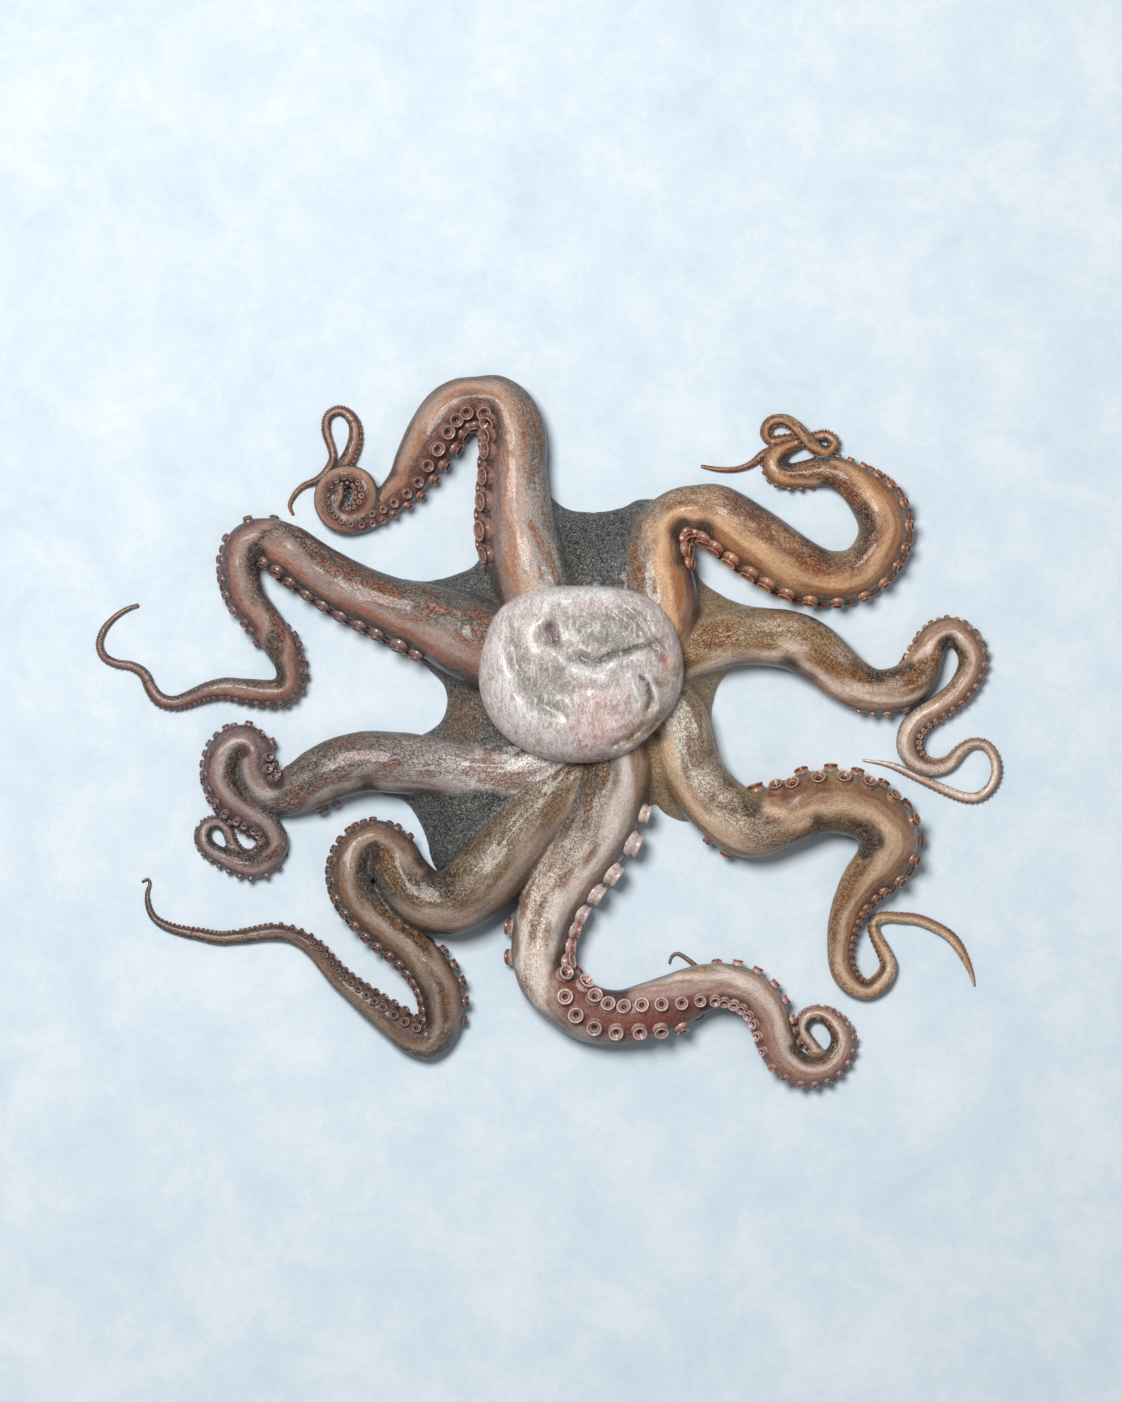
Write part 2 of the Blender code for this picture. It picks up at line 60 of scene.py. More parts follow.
# Arms: waypoints along each arm from root to tip, as
# (x, y, half width, roll[, spread[, lift]]).
# The roll is where the suckered side faces, in degrees: 0 down, 90 to the left of travel.
# The spread is half the angle between the two rows of suckers, SPREAD where left out.
# The lift is how high the arm rides over another turn of itself, 0 where left out.
SPREAD = 22.0
ARMS = {
    "top": (
        (7, 49.5, 25.6, 80), (-6, 84.5, 26.2, 85), (-16, 116.5, 25, 90), (-20, 142, 21.8, 92),
        (-21, 167.5, 19.5, 94), (-21, 187, 19.2, 98), (-25.5, 201.5, 18.6, 104),
        (-34, 210, 17.3, 122, 24), (-45, 211, 16, 130, 26), (-57, 209.5, 16, 130, 26),
        (-67, 202, 16.3, 128, 26), (-75.5, 188, 16.6, 128, 26), (-84, 173, 14.7, 128, 26),
        (-92, 158.5, 12.2, 130, 24), (-111.5, 140, 8.6, 155), (-122, 134, 7.7, 190, 25, 0.6),
        (-133, 133, 7, 218, 28, 1.3), (-142, 140, 6.7, 228, 28, 2.6),
        (-144.5, 150.5, 6.1, 230, 28, 3.8), (-139.5, 160.5, 5.8, 230, 28, 5.8),
        (-128.5, 164.5, 5.8, 230, 28, 7.7), (-119, 160, 6.7, 232, 28, 8.3),
        (-116.5, 149, 7.4, 232, 28, 7.7), (-122, 140, 5.8, 240, 25, 6.4),
        (-131, 137.5, 4.5, 260, 20, 5.1), (-137, 142.5, 3.8, 300, 20, 5.8),
        (-134, 152.5, 3.5, 300, 20, 7.7), (-134.5, 160.5, 3.8, 290, 20, 6.4),
        (-132.5, 169, 4.5, 280, 20, 3.2), (-127.5, 177.5, 4.6, 270, 20, 0.6),
        (-124.5, 187, 4.4, 270, 20), (-125, 196.5, 3.8, 270, 20), (-129.5, 203, 3.3, 270, 20),
        (-135, 205, 3.1, 270, 20), (-141, 201.5, 2.9, 270, 20), (-142.5, 193.5, 2.8, 270, 20),
        (-138, 175.5, 2.4, 270, 20, 1.3), (-141.5, 167.5, 2.3, 270, 20, 4.5),
        (-148, 161, 2.1, 270, 20, 3.8), (-157, 157, 1.9, 270, 20, 0.6),
        (-163, 151, 1.7, 270, 20), (-166, 144.5, 1.4, 270, 20), (-164, 139, 1, 270, 20),
    ),
    "upper_right": (
        (68, 46, 23, -70), (71, 81.5, 24.3, -80), (68, 110, 21.1, -85),
        (71.5, 129.5, 17.3, -90), (81.5, 139.5, 15.4, -95), (93, 141.5, 16, -88),
        (106, 139.5, 18.6, -84), (140, 117, 19.8, -85, 20), (159.5, 105, 18.6, -84, 20),
        (178.5, 99, 16.6, -84, 20), (196, 102, 15.7, -82, 18), (207.5, 112.5, 15.7, -90, 16),
        (213, 127.5, 16, -88, 16), (210.5, 141.5, 16, -88, 16), (201.5, 153, 14.1, -90, 16),
        (190, 162, 11.2, -70, 20), (178.5, 166.5, 9.9, -20, 50), (154, 163.5, 8.3, 75, 20),
        (146, 166, 8, 88, 20), (143.5, 173, 7.4, 90, 20), (148, 179, 6.1, 90, 20),
        (163, 185.5, 4, 90, 20, 0.6), (177.5, 189, 3.5, 90, 20, 2.6),
        (182, 184.5, 3.6, 90, 20, 3.8), (177.5, 179, 3.7, 90, 20, 5.8),
        (169.5, 182, 4.2, 80, 20, 7.7), (157.5, 195, 4.1, 70, 20, 5.8),
        (150, 199.5, 4, 80, 20, 2.6), (141.5, 198, 3.8, 90, 20, 1.3),
        (138, 191.5, 3.8, 95, 20, 0.6), (141.5, 186, 3.6, 100, 20),
        (155.5, 187.5, 2.9, 120, 20, 0.6), (159.5, 185, 2.6, 150, 20, 0.6),
        (145.5, 181.5, 2.6, 190, 20), (137, 177.5, 2.7, 190, 20), (130, 171.5, 2.4, 170, 20),
        (121, 168, 2, 150, 20), (109.5, 167.5, 1.8, 120, 20), (98, 169.5, 1.2, 90, 20),
    ),
    "right": (
        (64.5, 43, 19.2, -20, 40), (108, 58, 18.6, -35, 35), (125.5, 61, 18.6, -40, 30),
        (141.5, 60.5, 18.6, -45, 30), (158, 57, 18.9, -50, 30), (174, 47.5, 17.9, -60, 25),
        (189.5, 34, 16, -68), (206.5, 26, 14.4, -72), (222.5, 28, 13.8, -50, 30),
        (235, 36.5, 12.5, 10, 50), (241.5, 50, 10.6, 75, 30), (246.5, 60, 9.3, 92),
        (256.5, 64.5, 8.3, 95), (265.5, 58, 9, 95), (270, 48, 9, 93), (268, 36.5, 8.5, 95),
        (261, 25.5, 8.1, 100), (250, 16.5, 7.8, 105), (238.5, 9, 7.8, 105), (231, -0.5, 8, 108),
        (230, -11, 7.7, 105), (235.5, -20, 6.7, 100), (246, -23.5, 5.6, 95),
        (256, -20.5, 4.7, 95), (263, -13, 4.1, 95), (270.5, -8, 3.6, 95), (278.5, -9, 3.5, 95),
        (284, -15.5, 3.3, 95), (286, -25, 3.3, 90), (283, -34.5, 3.2, 90),
        (275, -41.5, 3.2, 90), (266, -42, 3.2, 90), (232.5, -27.5, 2.7, 90),
        (221.5, -22.5, 2.2, 90), (212, -20, 1.5, 90), (201, -18.5, 0.8, 90),
    ),
    "lower_right": (
        (68, 27, 21.8, -30, 40), (82, 4.5, 20.5, -35, 40), (90, -21, 19.2, -40, 40),
        (105.5, -45, 20.5, -35, 45), (127.5, -59, 21.4, 0, 60), (151, -53, 20.5, 75, 45),
        (170, -45.5, 20.2, 105, 30), (191.5, -46.5, 19.8, 103, 26), (208, -54.5, 18.9, 96),
        (216.5, -68, 19.2, 90, 20), (212, -82.5, 17.6, 88, 20), (201.5, -94.5, 14.4, 92, 20),
        (192, -110, 11.2, 95), (187, -126.5, 9.3, 95), (185.5, -141, 8, 93),
        (188, -153.5, 7.8, 93), (195, -162.5, 7, 93), (204, -165.5, 6.1, 93),
        (213, -160, 6, 93), (217.5, -150, 5.2, 93), (207.5, -125, 3.6, 93),
        (210.5, -119.5, 3.3, 93), (226, -119.5, 3.5, 93), (235.5, -120.5, 3.4, 93),
        (254, -129.5, 3.4, 93), (261, -137, 3.2, 93), (269.5, -153.5, 1.7, 93),
        (272, -162.5, 0.8, 93),
    ),
    "bottom": (
        (36, 20.5, 24.3, 60, 30), (40.5, -18, 24.3, 70, 24), (36.5, -43.5, 23.7, 66, 20),
        (26, -69, 22.4, 66, 20), (11.5, -90, 21.1, 70), (0.5, -109.5, 19.5, 50, 40),
        (-5, -128, 18.6, 10, 80), (-6, -146, 17.6, 20, 80), (-1.5, -159.5, 17.3, 70, 60),
        (9, -170, 17.6, 140, 35), (26, -180, 18.2, 172, 26), (45.5, -182.5, 17.6, 183, 26),
        (63.5, -178, 18.2, 195, 28), (80.5, -171.5, 17.3, 225, 40),
        (96.5, -164.5, 15.7, 280, 75), (112.5, -162, 14.4, 330, 106),
        (128.5, -167.5, 14.4, 338, 112), (139, -180, 13.8, 338, 112),
        (143.5, -194.5, 13, 335, 108), (150, -208, 11.8, 325, 90), (162.5, -216, 10.6, 290, 50),
        (176, -214.5, 9.3, 272, 25), (185, -206, 8.3, 270, 20), (187.5, -196, 7.7, 270, 20),
        (182.5, -186, 6.4, 270, 20), (173.5, -180.5, 5, 270, 20), (165, -182.5, 4.7, 270, 20),
        (161.5, -190.5, 4.7, 270, 20), (172, -205, 4, 270, 20), (178.5, -211, 3.2, 270, 20),
    ),
    "bottom_tip": (
        (104.5, -162, 2, 90, 20), (97.5, -153.5, 1.9, 90, 20), (81.5, -142, 1.2, 90, 20),
        (78, -144.5, 1, 90, 20), (77, -148, 0.9, 90, 20),
    ),
    "lower_left": (
        (26, -8.5, 19.2, 40, 30), (7, -35, 19.8, 45, 30), (-7, -51, 21.1, 50, 28),
        (-23, -70.5, 22.4, 55, 26), (-41.5, -93, 23.7, 58, 26), (-62, -109, 21.1, 52, 30),
        (-80.5, -106, 19.5, 20, 60), (-94, -91, 17.6, -30, 55), (-101, -76, 15.4, -75, 30),
        (-110.5, -68, 11.5, -85, 24), (-122, -73, 11.2, -90), (-127.5, -86, 12.5, -92),
        (-125.5, -100.5, 12.8, -90), (-117, -114, 12.8, -85, 30),
        (-104.5, -126.5, 12.8, -70, 45), (-90, -138, 12.8, -45, 70),
        (-77.5, -150, 13.4, -10, 90), (-69.5, -164, 13.8, 0, 92), (-67.5, -178, 13, -5, 90),
        (-70, -190.5, 11.5, -30, 70), (-77.5, -199, 10.9, -80, 40), (-87, -195, 11.2, -125, 24),
        (-96.5, -187.5, 11.2, -140, 20), (-132.5, -159, 7.2, -140, 20),
        (-151, -138, 6, -138, 20), (-160.5, -132, 5.4, -125, 20), (-172, -128.5, 5.4, -115, 20),
        (-198, -131.5, 4.3, -110, 20), (-210.5, -132.5, 4.1, -110, 20),
        (-223.5, -130, 3.8, -110, 20), (-236, -127.5, 3.2, -110, 20),
        (-246, -124, 2.8, -110, 20), (-253, -119, 2.2, -100, 20),
        (-256.5, -111.5, 1.9, -95, 20), (-257, -103, 1.5, -95, 20),
        (-255.5, -97.5, 1.2, -95, 20), (-256.5, -94.5, 1, -95, 20), (-260, -96, 0.9, -95, 20),
    ),
    "left": (
        (16.5, -2, 21.8, 20, 30), (-15.5, -23, 19.8, 25, 30), (-44, -25, 18.6, 30, 30),
        (-70, -22, 18.6, 35, 30), (-95.5, -20, 19.8, 38, 30), (-117, -19, 19.5, 42, 30),
        (-137.5, -24.5, 19.2, 40, 30), (-155, -33.5, 17.3, 20, 50),
        (-168.5, -40.5, 13.4, -30, 50), (-180, -39, 11.2, -80, 35),
        (-187, -25.5, 11.5, -118, 24), (-188, -12, 11.8, -115), (-194.5, -6, 10.6, -100),
        (-204, -9, 10.6, -95), (-210, -19, 10.6, -93), (-209.5, -32.5, 10.6, -95),
        (-202, -45.5, 10.4, -105, 24), (-190.5, -54.5, 9.6, -112, 26),
        (-180.5, -61.5, 9.3, -95, 40), (-175.5, -71, 9.3, -50, 75), (-180, -80.5, 8.6, 0, 85),
        (-189.5, -86, 8, 30, 70), (-212, -78.5, 5.9, 80, 25), (-220, -71, 5.5, 88),
        (-220, -62, 4.8, 90), (-213, -58, 4, 90), (-206.5, -62.5, 3.8, 90),
        (-203, -71.5, 3.8, 90), (-197, -78, 3.6, 90), (-190, -78.5, 3.2, 90),
        (-185, -73.5, 2.7, 90), (-183.5, -66.5, 1.9, 90),
    ),
    "upper_left": (
        (-2.5, 33.5, 24.3, 90), (-31.5, 49.5, 26.9, 85), (-54, 61.5, 26.9, 76, 18),
        (-76, 71, 23, 77, 18), (-102.5, 80.5, 18.9, 78, 18), (-126.5, 91, 17.6, 78, 18),
        (-148, 103.5, 16.6, 76, 20), (-168.5, 117, 16.3, 85, 30), (-182.5, 123, 13.4, 0, 85),
        (-192.5, 120.5, 12.8, -70, 40), (-197.5, 110, 12.5, -88), (-196.5, 96.5, 12.5, -88),
        (-191.5, 83, 12, -85, 24), (-182.5, 70.5, 11.8, -60, 60), (-166.5, 46, 10.2, 85, 40),
        (-165, 34.5, 9.6, 105, 24), (-169.5, 26, 9, 105), (-192.5, 26, 8, 95),
        (-205.5, 28, 6.8, 95), (-217, 26.5, 6.1, 95), (-239.5, 18.5, 4.5, 93),
        (-249, 21, 4.3, 92), (-254.5, 28, 3.8, 90), (-259, 37, 3.3, 90), (-267, 42, 2.9, 90),
        (-276.5, 43.5, 2.7, 90), (-284.5, 48, 2.6, 90), (-287.5, 55.5, 2.4, 90),
        (-285, 64.5, 2.2, 90), (-278.5, 72.5, 1.9, 90), (-270.5, 78, 1.7, 90),
        (-263.5, 80.5, 1.4, 90),
    ),
}

# Suckers: how far along the arm the first one lies, and their radius as a share of the arm's
# half width, at the root and at the tip.
SUCKERS = {
    "top": (66, 0.32, 0.27), "upper_right": (60, 0.33, 0.21), "right": (150, 0.24, 0.22),
    "lower_right": (92, 0.26, 0.22), "bottom": (60, 0.40, 0.24), "lower_left": (190, 0.27, 0.27),
    "left": (165, 0.26, 0.26), "upper_left": (76, 0.32, 0.22),
}

# Free edge of the web between the arm roots, as a closed loop of (x, y).
WEB_EDGE = (
    (-1, 152), (9, 144), (26, 141), (44, 143), (61, 150), (81, 142), (92, 113), (96, 99),
    (107, 90), (124, 82), (145, 77), (154, 59), (127, 42), (118, 40), (109, 31), (105, 19),
    (104, 6), (108, -9), (113, -37), (90, -58), (71, -51), (67, -45), (58, -56), (33, -76),
    (4, -76), (-31, -87), (-66, -93), (-72, -89), (-76, -80), (-79, -68), (-85, -54),
    (-94, -44), (-108, -39), (-113, -21), (-70, 6), (-67, 13), (-66, 22), (-69, 31), (-79, 41),
    (-99, 72), (-126, 107), (-113, 102), (-99, 99), (-79, 97), (-60, 101), (-49, 106),
    (-44, 113), (-40, 129), (-22, 148),
)
WEB_EDGE_HEIGHT = 3.0
WEB_RISE = 33.0
WEB_SLOPE_LENGTH = 27.0
WEB_GRID = 5.0

# Mantle: a flattened bag with a blunt oval outline and one shallow dent.
MANTLE_CENTRE = (20.5, 36.5)
MANTLE_HALF = (65.5, 56.5)
MANTLE_BLUNTNESS = 2.15
MANTLE_TOP_BLUNTNESS = 2.7
MANTLE_DENT = (0.07, -35.0, 25.0)       # depth as a share, direction and width in degrees
MANTLE_MID_HEIGHT = 40.0
MANTLE_HALF_HEIGHT = 30.0

ARM_FLATNESS = 0.88      # height of an arm's section over its width
REST_DEPTH = 0.06        # how much of the section is pressed flat by the table
PRESS_DEPTH = 0.4        # how far the whole underside is pressed flat
SAMPLE_STEP = 1.5
RING_SIDES = 32
FINE_TIP = 3.4           # half width below which an arm is a plain tube, not remeshed
TIP_SIDES = 20
BEND_REACH = 4           # samples to either side over which an arm's bend is measured
SMALLEST_SUCKER = 0.45
MEDIUM_SUCKER = 1.0      # radius above which a sucker has a full cup
LARGE_SUCKER = 2.6       # radius above which it has its fine rim as well
VOXEL = 1.5
SMOOTH_RADIUS = 135.0
SMOOTH_PASSES = 12


def srgb(red, green, blue):
    """Linear colour of an 8-bit screen colour."""
    def linear(value):
        value /= 255.0
        return value / 12.92 if value <= 0.04045 else ((value + 0.055) / 1.055) ** 2.4
    return Vector((linear(red), linear(green), linear(blue)))


# Each arm's skin: the back at its root, middle and tip, the pale band along the side (partly the
# skin's own pale band, partly a painted highlight), the skin between the suckers, and the streaks.
ARM_COLOURS = {
    "top": (srgb(192, 190, 188), srgb(96, 76, 66), srgb(84, 60, 54), srgb(184, 158, 142),
            srgb(96, 58, 52), srgb(150, 92, 52)),
    "upper_right": (srgb(148, 140, 126), srgb(134, 88, 62), srgb(120, 78, 44),
                    srgb(214, 176, 140), srgb(112, 62, 48), srgb(140, 78, 26)),
    "right": (srgb(168, 144, 110), srgb(132, 88, 44), srgb(238, 224, 212), srgb(228, 208, 194),
              srgb(114, 66, 46), srgb(128, 74, 20)),
    "lower_right": (srgb(226, 220, 206), srgb(118, 80, 46), srgb(208, 176, 150),
                    srgb(210, 182, 156), srgb(106, 58, 38), srgb(120, 70, 22)),
    "bottom": (srgb(48, 36, 24), srgb(240, 226, 214), srgb(168, 134, 114),
               srgb(226, 212, 204), srgb(122, 72, 62), srgb(128, 80, 30)),
    "bottom_tip": (srgb(112, 88, 78), srgb(100, 76, 68), srgb(80, 62, 56),
                   srgb(152, 130, 120), srgb(88, 60, 56), srgb(100, 64, 40)),
    "lower_left": (srgb(136, 120, 98), srgb(84, 62, 38), srgb(44, 36, 46),
                   srgb(160, 142, 130), srgb(80, 52, 48), srgb(110, 70, 24)),
    "left": (srgb(230, 226, 222), srgb(98, 90, 88), srgb(54, 46, 52), srgb(178, 164, 160),
             srgb(76, 52, 54), srgb(130, 86, 72)),
    "upper_left": (srgb(98, 97, 92), srgb(92, 73, 66), srgb(84, 68, 68),
                   srgb(162, 140, 130), srgb(92, 70, 70), srgb(142, 80, 56)),
}
TAN_WEB = srgb(152, 126, 94)
TAN_SIDE = math.radians(-18.0)      # direction from the mantle in which the web is tan
WEB_COLOUR = srgb(52, 54, 55)
# Painted shade: the dark brown laid on the inner side of an arm's bend, where the fold shades it.
INNER_BEND_SHADE = srgb(52, 34, 24)
UNDERSIDE = srgb(206, 184, 174)     # the face that rests on the table
# The brown fold of web at the mantle's left: x, y, radius and colour.
MEMBRANE = (-54.0, 10.0, 15.0, srgb(104, 76, 52))
SATURATION = 1.1


def full_waypoint(point):
    """Fill in the spread and lift that a short waypoint leaves out."""
    return tuple(point) + (SPREAD, 0.0)[len(point) - 4:]


def glide(before, start, end, after, spans, u):
    """Value between start and end at u, on a curve that eases with uneven spacing."""
    a, b, c = spans
    leave = ((start - before) / a - (end - before) / (a + b) + (end - start) / b) * b
    arrive = ((end - start) / b - (after - start) / (b + c) + (after - end) / c) * b
    return ((2 * u ** 3 - 3 * u ** 2 + 1) * start + (u ** 3 - 2 * u ** 2 + u) * leave
            + (3 * u ** 2 - 2 * u ** 3) * end + (u ** 3 - u ** 2) * arrive)


def follow(waypoints, step, closed=False):
    """Sample a smooth route through the waypoints about every step millimetres."""
    count = len(waypoints)
    samples = []
    for i in range(count if closed else count - 1):
        if closed:
            quad = [waypoints[(i + k) % count] for k in (-1, 0, 1, 2)]
        else:
            quad = [waypoints[min(max(i + k, 0), count - 1)] for k in (-1, 0, 1, 2)]
        spans = [math.sqrt(math.dist(p[:2], q[:2])) or 1.0 for p, q in zip(quad, quad[1:])]
        pieces = max(1, round(spans[1] ** 2 / step))
        for k in range(pieces):
            samples.append(tuple(glide(*values, spans, k / pieces) for values in zip(*quad)))
    if not closed:
        samples.append(tuple(map(float, waypoints[-1])))
    return samples


class Frame:
    """One cross-section of an arm."""

    def __init__(self, sample, along, travelled):
        x, y, self.half, self.roll, self.spread, lift = sample
        self.along = along
        self.side = Vector((-along.y, along.x, 0.0))
        self.tall = self.half * ARM_FLATNESS
        self.centre = Vector((x, y, max(lift, 0.0) + self.tall * (1.0 - REST_DEPTH)))
        self.travelled = travelled
        self.bend = 0.0     # half width over the bend's radius, positive to the left

    def on_skin(self, degrees):
        """Point on the skin at an angle from straight down, and the way it faces."""
        angle = math.radians(degrees)
        down = Vector((0.0, 0.0, math.cos(angle)))
        point = self.centre + self.side * (self.half * math.sin(angle)) - down * self.tall
        facing = self.side * (math.sin(angle) / self.half) - down / self.tall
        return point, facing.normalized()


def arm_frames(waypoints):
    samples = follow([full_waypoint(p) for p in waypoints], SAMPLE_STEP)
    frames, travelled = [], 0.0
    for i, sample in enumerate(samples):
        ahead, behind = samples[min(i + 1, len(samples) - 1)], samples[max(i - 1, 0)]
        along = Vector((ahead[0] - behind[0], ahead[1] - behind[1], 0.0)).normalized()
        if i:
            travelled += math.dist(sample[:2], samples[i - 1][:2])
        frames.append(Frame(sample, along, travelled))
    for i, f in enumerate(frames):
        before = frames[max(i - BEND_REACH, 0)]
        after = frames[min(i + BEND_REACH, len(frames) - 1)]
        turn = before.along.xy.angle_signed(after.along.xy, 0.0)
        f.bend = -turn * f.half / max(after.travelled - before.travelled, SAMPLE_STEP)
    return frames


def add_rings(mesh, rings):
    """Skin a closed tube over rings of points, with a face at either end."""
    loops = [[mesh.verts.new((p[0], p[1], max(p[2], 0.0))) for p in ring] for ring in rings]
    sides = len(loops[0])
    for lower, upper in zip(loops, loops[1:]):
        for k in range(sides):
            n = (k + 1) % sides
            mesh.faces.new((lower[k], lower[n], upper[n], upper[k]))
    mesh.faces.new(reversed(loops[0]))
    mesh.faces.new(loops[-1])
    return loops


def add_arm(mesh, frames, sides=RING_SIDES):
    rings = [[f.on_skin(360.0 * k / sides)[0] for k in range(sides)] for f in frames]
    end = frames[-1]
    for share in (0.8, 0.4):
        reach = end.along * (end.half * math.sqrt(1.0 - share ** 2))
        rings.append([end.centre + reach + (p - end.centre) * share for p in rings[len(frames) - 1]])
    add_rings(mesh, rings)


def edge_distance(x, y, loop):
    """Shortest distance from a place to a closed loop."""
    place = Vector((x, y))
    best = math.inf
    for start, end in zip(loop, loop[1:] + loop[:1]):
        start, end = Vector(start), Vector(end)
        span = end - start
        share = max(0.0, min(1.0, (place - start).dot(span) / max(span.length_squared, 1e-9)))
        best = min(best, (place - start - span * share).length)
    return best


def inside(x, y, loop):
    within = False
    for (ax, ay), (bx, by) in zip(loop, loop[1:] + loop[:1]):
        if (ay > y) != (by > y) and x < (bx - ax) * (y - ay) / (by - ay) + ax:
            within = not within
    return within


def add_web(mesh):
    """The sheet between the arm roots: thin at its free edge, rising to the crown."""
    loop = follow(WEB_EDGE, WEB_GRID * 0.6, closed=True)
    xs, ys = [p[0] for p in loop], [p[1] for p in loop]
    places = list(loop)
    for i in range(int((max(xs) - min(xs)) / WEB_GRID)):
        for j in range(int((max(ys) - min(ys)) / WEB_GRID)):
            x, y = min(xs) + (i + 0.5) * WEB_GRID, min(ys) + (j + 0.5) * WEB_GRID
            if inside(x, y, loop) and edge_distance(x, y, loop) > WEB_GRID * 0.4:
                places.append((x, y))
    rim = [(k, (k + 1) % len(loop)) for k in range(len(loop))]
    flat, _edges, faces = geometry.delaunay_2d_cdt(
        [Vector(p) for p in places], rim, [], 1, 0.01)[:3]
    tops, bottoms = [], []
    for p in flat:
        rise = WEB_RISE * (1.0 - math.exp(-edge_distance(p.x, p.y, loop) / WEB_SLOPE_LENGTH))
        tops.append(mesh.verts.new((p.x, p.y, WEB_EDGE_HEIGHT + rise)))
        bottoms.append(mesh.verts.new((p.x, p.y, 0.0)))
    used = {}
    for face in faces:
        mesh.faces.new([tops[k] for k in face])
        mesh.faces.new([bottoms[k] for k in reversed(face)])
        for a, b in zip(face, face[1:] + face[:1]):
            used[(a, b)] = True
    for a, b in used:
        if (b, a) not in used:
            mesh.faces.new((tops[a], bottoms[a], bottoms[b], tops[b]))


def smoothstep(low, high, value):
    t = max(0.0, min(1.0, (value - low) / (high - low)))
    return t * t * (3.0 - 2.0 * t)


def mix(first, second, share):
    return first + (second - first) * share


def new_object(name, mesh, smooth=True):
    data = bpy.data.meshes.new(name)
    mesh.to_mesh(data)
    mesh.free()
    if smooth:
        data.polygons.foreach_set("use_smooth", [True] * len(data.polygons))
    item = bpy.data.objects.new(name, data)
    bpy.context.scene.collection.objects.link(item)
    return item


def apply_modifier(item, kind, **settings):
    modifier = item.modifiers.new(kind.title(), kind)
    for key, value in settings.items():
        setattr(modifier, key, value)
    bpy.context.view_layer.objects.active = item
    bpy.ops.object.modifier_apply(modifier=modifier.name)


def set_attribute(data, name, kind, values):
    """Store one value for each vertex."""
    layer = data.attributes.new(name, kind, "POINT")
    field = {"FLOAT": "value", "FLOAT_VECTOR": "vector", "FLOAT_COLOR": "color"}[kind]
    if kind == "FLOAT":
        flat = values
    elif kind == "FLOAT_VECTOR":
        flat = [c for value in values for c in value]
    else:
        flat = [c for value in values for c in (*value, 1.0)]
    layer.data.foreach_set(field, flat)


# ---------------------------------------------------------------- skin

class ArmMap:
    """Finds where a point lies on the nearest arm."""

    def __init__(self, arms):
        self.arms = list(arms.items())
        self.trees = []
        for _name, frames in self.arms:
            tree = kdtree.KDTree(len(frames))
            for i, f in enumerate(frames):
                tree.insert(f.centre, i)
            tree.balance()
            self.trees.append(tree)

    def locate(self, point):
        best = None
        for (name, frames), tree in zip(self.arms, self.trees):
            _co, index, distance = tree.find(point)
            ratio = distance / frames[index].half
            if best is None or ratio < best[0]:
                best = (ratio, name, frames, index)
        ratio, name, frames, index = best
        f = frames[index]
        away = point - f.centre
        lateral, vertical, ahead = away.dot(f.side), away.z, away.dot(f.along)
        angle = math.degrees(math.atan2(lateral / f.half, -vertical / f.tall))
        oral = abs((angle - f.roll + 180.0) % 360.0 - 180.0)
        return ratio, name, f, (f.travelled + ahead, lateral, vertical), oral, frames[-1].travelled


def bump_share(value, middle, width):
    """1 at the middle, falling to 0 over the width."""
    return math.exp(-((value - middle) / width) ** 2)


